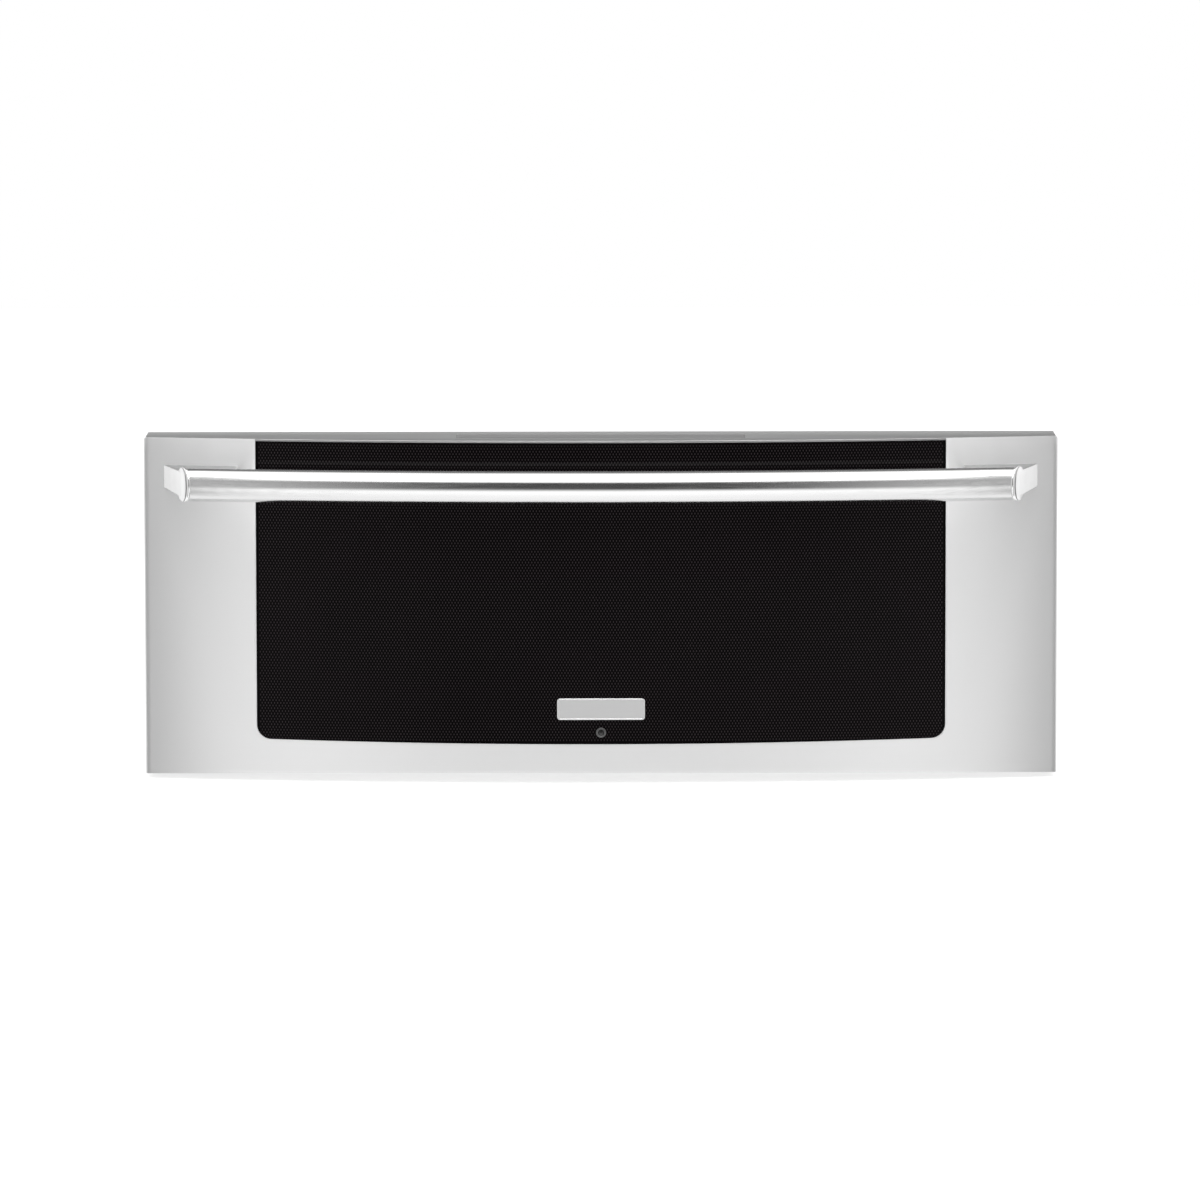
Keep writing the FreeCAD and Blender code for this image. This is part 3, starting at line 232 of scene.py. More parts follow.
def merge(*shapes):
    """Several sets of points and faces as one."""
    points = []
    faces = []
    for some_points, some_faces in shapes:
        start = len(points)
        points += some_points
        faces += [tuple(start + index for index in face) for face in some_faces]
    return points, faces


def inset_outline(outline, distance):
    """A flat closed outline moved inward, for one that runs counter-clockwise."""
    tightest = 0.3
    moved = []
    for index, (u, v) in enumerate(outline):
        before = outline[index - 1]
        after = outline[(index + 1) % len(outline)]
        first = Vector((u - before[0], v - before[1])).normalized()
        second = Vector((after[0] - u, after[1] - v)).normalized()
        inward = Vector((-first.y, first.x)) + Vector((-second.y, second.x))
        inward /= max(tightest, 1 + first.dot(second))
        moved.append((u + inward.x * distance, v + inward.y * distance))
    return moved


def rounded_rectangle(low, high, radius, steps=6):
    """Counter-clockwise outline of a rectangle with round corners."""
    left = low[0] + radius
    right = high[0] - radius
    bottom = low[1] + radius
    top = high[1] - radius
    outline = []
    for u, v, start in ((right, bottom, -90), (right, top, 0), (left, top, 90), (left, bottom, 180)):
        for turn in arc(start, start + 90, steps):
            outline.append((u + radius * math.cos(turn), v + radius * math.sin(turn)))
    return outline


def slab(outline, low, high, edge):
    """A level plate with rounded edges, from its outline and two heights."""
    turns = arc(0, 90, 3)
    levels = [(low + edge * (1 - math.cos(turn)), turn) for turn in turns]
    levels += [(high - edge * (1 - math.cos(turn)), turn) for turn in reversed(turns)]
    rings = []
    for z, turn in levels:
        ring = inset_outline(outline, edge * (1 - math.sin(turn)))
        rings.append([(x, y, z) for x, y in ring])
    return loft(rings)


def turned(centre, axis, radius, turn, along):
    """A point about an axis of the frame, from its radius, its angle and its distance along."""
    across = radius * math.cos(turn)
    up = radius * math.sin(turn)
    offsets = {"X": (along, across, up), "Y": (across, along, up), "Z": (across, up, along)}[axis]
    return tuple(value + offset for value, offset in zip(centre, offsets))


def lathe(profile, centre, count=32):
    """A shape turned about Y: profile gives radius and distance along the axis from the centre."""
    rings = []
    for radius, along in profile:
        rings.append([turned(centre, "Y", radius, turn, along) for turn in circle(count)])
    return loft(rings)


def face_centre(low, high, y):
    """The centre of a box as seen along Y, at the given depth."""
    return ((low.x + high.x) / 2, y, (low.z + high.z) / 2)


def islands(node):
    """Corner boxes of the loose pieces in a CAD node."""
    touching = 0.002 * MM
    work = bmesh.new()
    work.from_mesh(frame["nodes"][node].data)
    bmesh.ops.remove_doubles(work, verts=work.verts, dist=touching)
    unseen = set(work.verts)
    boxes = []
    while unseen:
        queue = [unseen.pop()]
        found = []
        while queue:
            vertex = queue.pop()
            found.append(vertex.co.copy())
            for edge in vertex.link_edges:
                other = edge.other_vert(vertex)
                if other in unseen:
                    unseen.remove(other)
                    queue.append(other)
        boxes.append([Vector([pick(values) for values in zip(*found)]) for pick in (min, max)])
    work.free()
    return sorted(boxes, key=lambda pair: tuple(round(value, 5) for value in pair[0]))


# Materials

class Nodes:
    """A node tree, and short ways to add nodes and join them."""

    def __init__(self, tree):
        self.tree = tree

    def add(self, kind, **settings):
        made = self.tree.nodes.new("ShaderNode" + kind)
        for key, value in settings.items():
            setattr(made, key, value)
        return made

    def join(self, socket, value):
        if isinstance(value, bpy.types.NodeSocket):
            self.tree.links.new(value, socket)
        else:
            socket.default_value = value

    def feed(self, node, **values):
        """Sets or joins a node's inputs by name, with _ for a space."""
        for key, value in values.items():
            self.join(node.inputs[key.replace("_", " ")], value)

    def span(self, value, low, high, start=0.0, end=1.0, smooth=False):
        """Goes from low to high while the value goes from start to end."""
        made = self.add("MapRange", interpolation_type="SMOOTHSTEP" if smooth else "LINEAR")
        self.feed(made, Value=value, From_Min=start, From_Max=end, To_Min=low, To_Max=high)
        return made.outputs["Result"]

    def rise(self, value, start, end):
        """A soft step from none to one."""
        return self.span(value, 0.0, 1.0, start, end, smooth=True)

    def math(self, kind, first, second=0.0):
        made = self.add("Math", operation=kind)
        self.join(made.inputs[0], first)
        self.join(made.inputs[1], second)
        return made.outputs["Value"]

    def rays(self):
        """Shares that are one for rays of the view and for rays of shine."""
        light = self.add("LightPath").outputs
        seen = self.math("MAXIMUM", light["Is Camera Ray"], light["Is Transmission Ray"])
        return seen, light["Is Glossy Ray"]


class Surface(Nodes):
    """A material with one main shader, and short ways to make what feeds it."""

    def __init__(self, name):
        self.material = bpy.data.materials.new(name)
        self.material.use_nodes = True
        super().__init__(self.material.node_tree)
        self.shader = self.tree.nodes["Principled BSDF"]
        self.place = self.add("TexCoord").outputs["Object"]

    def set(self, **values):
        """Sets or joins the shader's inputs."""
        self.feed(self.shader, **values)

    def mapped(self, **values):
        """The place on the object, scaled or turned."""
        made = self.add("Mapping")
        self.feed(made, Vector=self.place, **values)
        return made.outputs["Vector"]

    def grain(self, cells, detail=3.0, rough=0.55):
        """Noise at so many cells to the metre, the same every way or given along X, Y and Z."""
        scale = cells if isinstance(cells, tuple) else (cells, cells, cells)
        made = self.add("TexNoise")
        self.feed(made, Vector=self.mapped(Scale=scale), Scale=1.0, Detail=detail, Roughness=rough)
        return made.outputs["Fac"]

    def spangle(self, size):
        """Crystal cells of the given size, as a value that is even within each cell."""
        made = self.add("TexVoronoi")
        self.feed(made, Vector=self.place, Scale=1 / size)
        split = self.add("SeparateColor")
        self.feed(split, Color=made.outputs["Color"])
        return split.outputs["Red"]

    def weigh(self, first, second, share):
        """Two values added, the first by its share and the second by the rest."""
        return self.math("ADD", self.math("MULTIPLY", first, share), self.math("MULTIPLY", second, 1 - share))

    def blend(self, share, first, second):
        """A colour between two; 6, 7 and 2 are the node's colour sockets."""
        made = self.add("Mix", data_type="RGBA")
        self.join(made.inputs["Factor"], share)
        self.join(made.inputs[6], first)
        self.join(made.inputs[7], second)
        return made.outputs[2]

    def axes(self):
        """The place on the object as its X, Y and Z."""
        split = self.add("SeparateXYZ")
        self.feed(split, Vector=self.place)
        return split.outputs

    def shine(self, value, low, high):
        """Roughness from low to high over the usual reach of a noise."""
        self.set(Roughness=self.span(value, low, high, start=0.3, end=0.7))

    def bump(self, height, strength, distance):
        """Relief of the given height, by strength and distance."""
        made = self.add("Bump")
        self.feed(made, Height=height, Strength=strength, Distance=distance)
        self.set(Normal=made.outputs["Normal"])

    def edge_wear(self):
        """A share that is one along outer edges."""
        pointed = self.add("NewGeometry").outputs["Pointiness"]
        return self.rise(pointed, 0.52, 0.62)


def grey(value, warm=0.0):
    """A colour near grey, a little warm or cool."""
    return (value * (1 + warm), value, value * (1 - warm), 1.0)


def smoked(value):
    """A dark colour with a little plum in it."""
    return (value * 1.12, value * 0.92, value, 1.0)


def brush(made, tone, rough, cells, metal=1.0, wear=0.03, relief=0.06):
    """Gives a surface a brushed grain; relief is how far its shine and its height vary."""
    fine = made.grain(cells, 4, 0.6)
    both = made.weigh(fine, made.grain(3, 2), 0.7)
    worn = grey(tone * (1 - 2 * wear))
    made.set(Base_Color=made.blend(both, worn, grey(tone * (1 + wear))), Metallic=metal)
    made.shine(both, rough - relief, rough + relief)
    made.bump(fine, relief, 0.05 * MM)


def brushed(name, tone, rough, cells, **more):
    """Sheet metal with a brushed grain."""
    made = Surface(name)
    brush(made, tone, rough, cells, **more)
    return made.material


def front_steel():
    """Satin steel with a level grain, which spreads light upward and downward."""
    made = Surface("front_steel_satin")
    brush(made, 0.975, 0.32, (9, 9, 1900), metal=0.71, wear=0.012, relief=0.02)
    tangent = made.add("Tangent", direction_type="UV_MAP", uv_map="sheet")
    made.set(Tangent=tangent.outputs["Tangent"], Anisotropic=1.0, Anisotropic_Rotation=0.25)
    return made.material


def galvanised(name, tone):
    """Zinc-coated sheet with crystal spangle and a dull bloom."""
    made = Surface(name)
    mixed = made.weigh(made.spangle(9 * MM), made.grain(14, 4), 0.55)
    made.set(Base_Color=made.blend(mixed, grey(tone * 0.86, -0.01), grey(tone * 1.12, -0.01)))
    made.set(Metallic=0.85, Roughness=made.span(mixed, 0.36, 0.56, start=0.2, end=0.8))
    made.bump(mixed, 0.03, 0.1 * MM)
    return made.material


def zinc(name, tone):
    """Bright zinc plating, slightly cloudy, lighter on rubbed edges."""
    made = Surface(name)
    cloud = made.grain(60, 4)
    plain = made.blend(cloud, grey(tone * 0.9, -0.015), grey(tone * 1.08, -0.015))
    made.set(Base_Color=made.blend(made.edge_wear(), plain, grey(tone * 1.25)), Metallic=0.95)
    made.shine(cloud, 0.26, 0.42)
    made.bump(made.grain(900, 2), 0.05, 0.03 * MM)
    return made.material


def moulded(name, tone, rough, gloss=0.4):
    """Moulded plastic or rubber with a fine spark-eroded grain."""
    made = Surface(name)
    cloud = made.grain(40)
    plain = made.blend(cloud, grey(tone * 0.9), grey(tone * 1.1))
    made.set(Base_Color=made.blend(made.edge_wear(), plain, grey(tone * 1.3 + 0.01)))
    made.set(Specular_IOR_Level=gloss)
    made.shine(cloud, rough - 0.07, rough + 0.07)
    made.bump(made.grain(2600, 2), 0.2, 0.05 * MM)
    return made.material


def wool():
    """Mineral wool: tangled pale fibres, painted darker where the strands lie low as shade between them."""
    made = Surface("insulation_fibres")
    first = made.grain((160, 2100, 700), 5, 0.7)
    second = made.grain((1900, 180, 800), 5, 0.7)
    strands = made.math("MAXIMUM", first, second)
    pale = made.blend(made.grain(25), (0.70, 0.62, 0.40, 1), (0.86, 0.81, 0.62, 1))
    # where the strands lie low the colour turns darker brown: painted shade between the fibres
    raised = made.span(strands, 0.0, 1.0, start=0.42, end=0.75)
    made.set(Base_Color=made.blend(raised, (0.52, 0.44, 0.26, 1), pale), Specular_IOR_Level=0.15)
    made.shine(strands, 0.85, 1.0)
    made.bump(strands, 0.8, 1.2 * MM)
    return made.material


def black_glass(name, dotted):
    """Black glass; the dotted part has a print of close staggered dots behind it."""
    made = Surface(name)
    smear = made.grain((7, 7, 5), 4, 0.6)
    plain = made.blend(smear, smoked(0.0015), smoked(0.003))
    if dotted:
        place = made.axes()
        pitch = 2.6 * MM
        rows = pitch * math.sqrt(3)
        across = made.math("COSINE", made.math("MULTIPLY", place["X"], 2 * math.pi / pitch))
        upward = made.math("COSINE", made.math("MULTIPLY", place["Z"], 2 * math.pi / rows))
        both = made.math("MULTIPLY", across, upward)
        dots = made.rise(both, 0.25, 0.6)
        plain = made.blend(dots, plain, made.blend(smear, smoked(0.025), smoked(0.039)))
    made.set(Base_Color=plain, Specular_IOR_Level=0.04)
    made.shine(smear, 0.05, 0.09)
    return made.material


def polished(name, tone, rough, cells):
    """Polished metal with faint drawing lines."""
    made = Surface(name)
    lines = made.grain(cells, 3, 0.5)
    made.set(Base_Color=made.blend(made.grain(18), grey(tone * 0.97), grey(tone * 1.02)), Metallic=1.0)
    made.shine(lines, rough * 0.8, rough * 1.25)
    made.bump(lines, 0.03, 0.02 * MM)
    return made.material


def laminate():
    """Circuit board: green mask with traces, and parts that differ by how far they stand out."""
    made = Surface("board_mask")
    cells = made.add("TexBrick")
    made.feed(cells, Vector=made.mapped(Rotation=(math.pi / 2, 0, 0)), Scale=90.0)
    made.feed(cells, Color1=(0.03, 0.16, 0.06, 1), Color2=(0.05, 0.22, 0.09, 1), Mortar=(0.10, 0.32, 0.15, 1))
    low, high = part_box("power_board")
    raised = low.y + 8 * MM
    stands = made.span(made.axes()["Y"], 0.0, 1.0, start=raised, end=raised + 0.4 * MM)
    spots = made.grain(700, 2)
    part = made.blend(spots, (0.01, 0.01, 0.012, 1), (0.03, 0.03, 0.035, 1))
    made.set(Base_Color=made.blend(stands, cells.outputs["Color"], part))
    made.shine(spots, 0.35, 0.55)
    made.bump(cells.outputs["Fac"], 0.15, 0.1 * MM)
    return made.material


def oxidised():
    """Heater sheath: dark oxidised metal with a brown tarnish."""
    made = Surface("element_sheath")
    cloud = made.grain(35, 5, 0.65)
    made.set(Base_Color=made.blend(cloud, (0.055, 0.05, 0.048, 1), (0.16, 0.14, 0.125, 1)), Metallic=0.8)
    made.shine(cloud, 0.42, 0.66)
    made.bump(made.grain(800, 2), 0.12, 0.05 * MM)
    return made.material


def woven():
    """Woven glass-fibre gasket sleeve, painted darker in the gaps between its threads as shade."""
    made = Surface("gasket_weave")
    bands = []
    for place in (made.place, made.mapped(Scale=(-1, 1, 1))):
        wave = made.add("TexWave", wave_type="BANDS", bands_direction="DIAGONAL")
        made.feed(wave, Vector=place, Scale=420.0, Distortion=0.6)
        bands.append(wave.outputs["Fac"])
    weave = made.math("MULTIPLY", *bands)
    # darker where the threads dip: painted shade in the weave's gaps
    made.set(Base_Color=made.blend(weave, grey(0.16), grey(0.30)))
    made.set(Roughness=made.span(weave, 0.75, 0.95), Specular_IOR_Level=0.2)
    made.bump(weave, 0.5, 0.4 * MM)
    return made.material


FRONT_STEEL = front_steel()
FRONT_INNER = brushed("front_floor_steel", 0.62, 0.42, (9, 900, 900))
TRIM_STEEL = brushed("trim_satin", 0.50, 0.42, (9, 1500, 1500))
GLASS_DOTS = black_glass("glass_dotted", True)
GLASS_PLAIN = black_glass("glass_border", False)
BAR_STEEL = polished("bar_polished", 0.79, 0.17, (6, 700, 700))
CHROME = polished("bracket_polished", 0.96, 0.12, 40)
# darker copy of the brackets' polished metal for their top faces: painted shade
BRACKET_TOP_SHADE = brushed("bracket_top_painted_shade", 0.52, 0.34, (9, 700, 700))
# whiter, barely metallic copy of the brackets' metal for their outward mitres: painted highlight
BRACKET_MITRE_HIGHLIGHT = brushed("bracket_mitre_painted_highlight", 0.97, 0.22, 60, metal=0.12, wear=0.012)
# dark copy of the brackets' metal for the groove round each cap: painted shade in the recess
BRACKET_GROOVE_SHADE = brushed("bracket_groove_painted_shade", 0.40, 0.5, 200)
EDGE_STEEL = brushed("front_edge_bright", 0.96, 0.24, 60, metal=0.6, wear=0.01)
PLATE_FACE = brushed("plate_face", 0.80, 0.36, (30, 30, 2600), metal=0.5)
PLATE_RIM = brushed("plate_rim", 0.93, 0.22, 60, metal=0.55)
SCREW_STEEL = zinc("screw_plated", 0.62)
HOUSING_STEEL = galvanised("housing_galvanised", 0.55)
LINER_STEEL = brushed("liner_satin", 0.60, 0.38, (8, 8, 1200))
PAN_STEEL = brushed("pan_satin", 0.66, 0.33, (8, 1300, 1300))
RAIL_ZINC = zinc("rail_plated", 0.60)
BRACKET_ZINC = zinc("bracket_plated", 0.56)
CAGE_STEEL = polished("cage_bright", 0.68, 0.22, 90)
SENSOR_STEEL = brushed("sensor_satin", 0.58, 0.32, (900, 20, 900))
RUBBER = moulded("black_rubber_matt", 0.022, 0.72, gloss=0.3)
LEVER_PLASTIC = moulded("lever_moulded", 0.035, 0.5)
POST_PLASTIC = moulded("post_moulded", 0.78, 0.5)
LAMP_PLASTIC = moulded("lamp_moulded", 0.74, 0.45)
OVERLAY_FILM = moulded("overlay_smooth", 0.20, 0.55, gloss=0.12)
LENS_RING = moulded("lens_ring", 0.11, 0.25, gloss=0.6)
LENS_DOME = moulded("lens_dome", 0.012, 0.10, gloss=0.7)
WOOL = wool()
BOARD = laminate()
SHEATH = oxidised()
WEAVE = woven()


# Pieces of the drawer's front

def plan_columns():
    """Points of the front's plan from its left rear corner to its right one, and how many lie in a stile."""
    side_y = NOSE + BOW_SAG
    near = HALF - BEND
    bend = []
    for share in spread(0, 1, 6):
        first = (1 - share)**2
        second = 2 * share * (1 - share)
        third = share**2
        x = first * HALF + second * HALF + third * near
        y = first * (side_y + BEND) + second * side_y + third * bow_y(near)
        bend.append((x, y))
    wing = [(HALF, y) for y in spread(FRONT_BACK, side_y + BEND, 3)[:-1]] + bend
    wing += bowed(spread(near, OPENING_HALF, 30)[1:])
    corner = [SAG_HALF + OPENING_CORNER * math.sin(turn) for turn in arc(90, 0, 10)[1:]]
    right = wing + bowed(corner)
    left = [(-x, y) for x, y in right]
    middle = bowed(spread(-SAG_HALF, SAG_HALF, 80)[1:-1])
    return left + middle + right[::-1], len(wing)


def foot_edge(x):
    """Height of the front's bottom edge."""
    return FRONT_LOW.z + ARCH * (1 - (x / HALF)**2)


def opening_edge(x):
    """Height of the opening's bottom edge, or of the top of its corner outside it."""
    hair = 0.001 * MM
    corner_top = OPENING_FOOT + OPENING_CORNER
    reach = abs(x) - SAG_HALF
    if reach >= OPENING_CORNER - hair:
        return corner_top
    if reach > 0:
        return corner_top - math.sqrt(OPENING_CORNER**2 - reach**2)
    return OPENING_FOOT - OPENING_SAG * (1 - (x / SAG_HALF)**2)


def top_edge(x):
    """Height of the front's top edge, round at its two tips."""
    reach = max(0.0, abs(x) - (HALF - TIP))
    return FRONT_HIGH.z - TIP + math.sqrt(max(0.0, TIP**2 - reach**2))


def build_skin():
    """Bowed steel sheet in one piece: bottom rail, two stiles and the bent sides."""
    columns, wing = plan_columns()
    rail_rows = 10
    stile_rows = 22
    points = []
    index = {}
    length = 0.0
    sheet = []
    for column, (x, y) in enumerate(columns):
        if column:
            length += math.hypot(x - columns[column - 1][0], y - columns[column - 1][1])
        heights = spread(foot_edge(x), opening_edge(x), rail_rows)
        if column < wing or column >= len(columns) - wing:
            heights += spread(opening_edge(x), top_edge(x), stile_rows)[1:]
        for row, z in enumerate(heights):
            index[column, row] = len(points)
            points.append((x, y, z))
            sheet.append((length, z))
    faces = []
    for column, row in index:
        corners = [(column, row), (column + 1, row), (column + 1, row + 1), (column, row + 1)]
        if all(corner in index for corner in corners):
            faces.append(tuple(index[corner] for corner in corners))
    mesh = plain_mesh("front_skin", points, faces, FRONT_STEEL, EDGE_STEEL)
    layer = mesh.uv_layers.new(name="sheet")
    for loop in mesh.loops:
        layer.data[loop.index].uv = sheet[loop.vertex_index]
    skin = piece("front_skin", mesh, "drawer", "front_panel")
    modify(skin, "SOLIDIFY", thickness=SHEET, offset=-1, use_even_offset=True)
    settle(skin)
    soften_skin(skin, len(points))


def soften_skin(skin, outer_count):
    """Rounds the sheet's edges: wide at the opening's front, narrow elsewhere."""
    wide = 1.35 * MM
    narrow_share = 0.2
    least_angle = math.radians(50)
    reach = OPENING_HALF + 0.1 * MM
    above_foot = 25 * MM
    weights = skin.data.attributes.new("bevel_weight_edge", "FLOAT", "EDGE")
    work = bmesh.new()
    work.from_mesh(skin.data)
    values = []
    for edge in work.edges:
        sharp = len(edge.link_faces) == 2 and edge.calc_face_angle(0.0) > least_angle
        front = all(vertex.index < outer_count for vertex in edge.verts)
        opening = all(abs(vertex.co.x) < reach and vertex.co.z > above_foot for vertex in edge.verts)
        values.append((1.0 if front and opening else narrow_share) if sharp else 0.0)
    work.free()
    weights.data.foreach_set("value", values)
    modify(skin, "BEVEL", width=wide, segments=3, material=1, limit_method="WEIGHT")
    settle(skin)
    weld(skin.data)


def build_front_floor():
    """Level plate that closes the front near its bottom edge."""
    low = 10 * MM
    inner = HALF - SHEET
    outline = bowed(spread(-inner, inner, 48), SHEET) + [(inner, FRONT_BACK), (-inner, FRONT_BACK)]
    shape = slab(outline, low, low + SHEET, 0.2 * MM)
    shaped("front_floor", shape, FRONT_INNER, "drawer", "front_panel")


def build_glass():
    """Bowed pane; its dotted print keeps a narrow plain border inside the opening."""
    border = 2.2 * MM
    columns = [-GLASS_HIGH.x, -OPENING_HALF + border]
    columns += spread(-OPENING_HALF + border, OPENING_HALF - border, 96)[1:]
    columns.append(GLASS_HIGH.x)
    heights = [GLASS_LOW.z, OPENING_FOOT - OPENING_SAG + border]
    heights += spread(heights[-1], GLASS_HIGH.z, 12)[1:]
    points = [(x, bow_y(x, GLASS_INSET), z) for x in columns for z in heights]
    rows = len(heights)
    faces = []
    dotted = []
    for column in range(len(columns) - 1):
        for row in range(rows - 1):
            start = column * rows + row
            faces.append((start, start + rows, start + rows + 1, start + 1))
            dotted.append(0 < column < len(columns) - 2 and row > 0)
    mesh = plain_mesh("glass_pane", points, faces, GLASS_PLAIN, GLASS_DOTS)
    for face, chosen in zip(mesh.polygons, dotted):
        face.material_index = int(chosen)
    pane = piece("glass_pane", mesh, "drawer", "glass_insert")
    modify(pane, "SOLIDIFY", thickness=GLASS_THICK, offset=-1)
    modify(pane, "BEVEL", width=0.5 * MM, segments=2, limit_method="ANGLE")
    settle(pane)


def build_top_strip():
    """Strip that closes the front's top, with a lip above the glass and a seat for the touch film."""
    strip_low, strip_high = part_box("top_trim")
    clearance = 0.2 * MM
    gap = SHEET + clearance
    lip = OPENING_HALF - clearance
    wing = strip_high.x
    outline = bowed(spread(-wing, -lip, 16), gap)
    outline += bowed(spread(-lip, lip, 80))
    outline += bowed(spread(lip, wing, 16), gap)
    outline += [(wing, FRONT_BACK), (-wing, FRONT_BACK)]
    shape = slab(outline, strip_low.z, strip_high.z, 0.5 * MM)
    strip = shaped("top_strip", shape, TRIM_STEEL, "drawer", "top_trim")
    low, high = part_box("control_overlay")
    margin = 0.15 * MM
    seat = rounded_rectangle((low.x - margin, low.y - margin), (high.x + margin, high.y + margin), 2 * MM)
    cutter = show("cutter", make_mesh("cutter", *slab(seat, low.z, high.z + SHEET, 0.05 * MM)))
    modify(strip, "BOOLEAN", operation="DIFFERENCE", object=cutter)
    settle(strip)
    bpy.data.objects.remove(cutter)
    film = slab(rounded_rectangle((low.x, low.y), (high.x, high.y), 1.9 * MM), low.z, high.z, 0.12 * MM)
    shaped("touch_film", film, OVERLAY_FILM, "drawer", "control_overlay")


def build_plate():
    """Bare plate at the foot of the glass: a bright rim round a finely brushed face."""
    low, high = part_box("nameplate")
    outline = rounded_rectangle((low.x, low.z), (high.x, high.z), 2.5 * MM)
    stand = 1.4 * MM
    bead = 0.6 * MM
    step = 0.35 * MM
    base = GLASS_INSET - 0.25 * MM
    levels = [(0.0, 0.0)]
    for turn in arc(180, 20, 8):
        levels.append((bead * (1 + math.cos(turn)), stand - bead * (1 - math.sin(turn))))
    levels.append((2 * bead, stand - step))
    rings = []
    for shrink, height in levels:
        ring = inset_outline(outline, shrink)
        rings.append([(x, bow_y(x, base - height), z) for x, z in ring])
    mesh = make_mesh("bare_plate", *loft(rings), PLATE_RIM, PLATE_FACE)
    front = max(mesh.polygons, key=lambda face: (face.center.y < NOSE + stand, face.area))
    front.material_index = 1
    piece("bare_plate", mesh, "drawer", "nameplate")


def build_indicator():
    """Round indicator: a collar round a dark dome."""
    low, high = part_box("indicator_lens")
    centre = (0.0, high.y - 4 * MM, (low.z + high.z) / 2)
    stem = 3 * MM
    wide = high.x
    profile = (
        (stem, 4 * MM), (stem, 0.0), (wide, 0.0), (wide, -0.65 * MM), (wide - 0.12 * MM, -0.88 * MM),
        (wide - 0.4 * MM, -1.0 * MM), (stem, -1.0 * MM), (stem - 0.25 * MM, -0.75 * MM),
        (stem - 0.3 * MM, -0.4 * MM),
    )
    collar = lathe(profile, centre)
    shaped("indicator_collar", collar, LENS_RING, "drawer", "indicator_lens")
    reach = stem - 0.32 * MM
    seat = 0.3 * MM
    crown = 0.6 * MM
    profile = [(reach, -seat)]
    for turn in arc(10, 84, 8):
        profile.append((reach * math.cos(turn), -(seat + crown * math.sin(turn))))
    dome = lathe(profile, centre)
    shaped("indicator_dome", dome, LENS_DOME, "drawer", "indicator_lens")


def handle_point(turn, around, radius):
    """A point near the bowed bar's axis, from its angles along the bow and about the bar."""
    reach = BAR_ARC + radius * math.cos(around)
    return (reach * math.sin(turn), AXIS_Y - reach * math.cos(turn), BAR_Z + radius * math.sin(around))


def mitre_turn(around, radius, back):
    """Angle along the bow where a line on the bar meets the right mitre, or a plane set back from it."""
    reach = BAR_ARC + radius * math.cos(around)
    turn = math.asin((FOOT_OUTER - MITRE) / reach)
    for step in range(6):
        y = AXIS_Y - reach * math.cos(turn)
        turn = math.asin((FOOT_OUTER - back + (y - FOOT_Y) * MITRE / (FOOT_Y - END_Y)) / reach)
    return turn


def build_bar():
    """Bowed round bar, cut at both ends along the mitres."""
    angles = circle(BAR_SIDES)
    ends = [mitre_turn(around, BAR_RADIUS, CAP_LENGTH) for around in angles]
    rings = []
    for share in spread(-1, 1, 96):
        rings.append([handle_point(share * end, around, BAR_RADIUS) for around, end in zip(angles, ends)])
    shaped("polished_bar", loft(rings), BAR_STEEL, "drawer", "handle_bar")


def bracket_cap():
    """Right bracket's cap on the mitre, a bead, a groove and a lip, and the slice of its groove's faces,
    which are given painted shade.
    """
    ahead = 1.1 * MM
    bead = (CAP_LENGTH - ahead) / 2
    bead_steps = 8
    groove_rows = 3
    groove = 0.4 * MM
    lip = 0.6 * MM
    profile = [(0.7 * bead * math.sin(turn), ahead + bead + bead * math.cos(turn))
               for turn in arc(0, 180, bead_steps)]
    profile += [
        (-groove, 1.0 * MM), (-groove, 0.5 * MM), (lip - 0.2 * MM, 0.4 * MM),
        (lip - 0.25 * MM, 0.15 * MM), (lip - 0.5 * MM, 0.0),
    ]
    angles = circle(BAR_SIDES)
    rings = []
    for rise, back in profile:
        radius = BAR_RADIUS + rise
        rings.append([handle_point(mitre_turn(around, radius, back), around, radius) for around in angles])
    return loft(rings), slice(bead_steps * BAR_SIDES, (bead_steps + groove_rows) * BAR_SIDES)


def bracket_foot():
    """Right bracket's foot, from the front to the bar, a little taller toward the bar."""
    seat = 0.25 * MM
    round_over = 0.7 * MM
    stile_side = bowed(spread(FOOT_INNER, FOOT_OUTER, 12), -seat)
    bar_turns = spread(mitre_turn(math.pi / 2, 0.0, 0.0), math.asin(FOOT_INNER / BAR_ARC), 12)
    bar_side = [handle_point(turn, 0.0, 0.0)[:2] for turn in bar_turns]
    outline = list(reversed(stile_side + bar_side))
    points, faces = slab(outline, BAR_Z - FOOT_HEIGHT / 2, BAR_Z + FOOT_HEIGHT / 2, round_over)
    flared = []
    for x, y, z in points:
        share = (bow_y(x) - y) / (FOOT_Y - END_Y)
        flared.append((x, y, BAR_Z + (z - BAR_Z) * (1 + FOOT_FLARE * share)))
    return flared, faces


def build_brackets():
    """Mitred brackets: polished, with painted shade on their tops and in the groove round each cap, and a
    painted highlight on their mitres.
    """
    level = 0.95
    outward = 0.85
    cap, groove = bracket_cap()
    points, faces = merge(cap, bracket_foot())
    for side, sign in SIDES.items():
        name = side + "_mitred_bracket"
        placed = [(sign * x, y, z) for x, y, z in points]
        mesh = make_mesh(name, placed, faces, CHROME, BRACKET_TOP_SHADE, BRACKET_GROOVE_SHADE, BRACKET_MITRE_HIGHLIGHT)
        # faces coloured by which way they face: top faces get a darker copy (painted shade), outward mitres a
        # whiter, barely metallic copy (painted highlight)
        for face in mesh.polygons:
            if face.normal.z > level:
                face.material_index = 1
            elif sign * face.normal.x > outward:
                face.material_index = 3
        # the groove's faces get the dark copy: painted shade in the recess
        for face in mesh.polygons[groove]:
            face.material_index = 2
        piece(name, mesh, "drawer", side + "_handle_bracket")


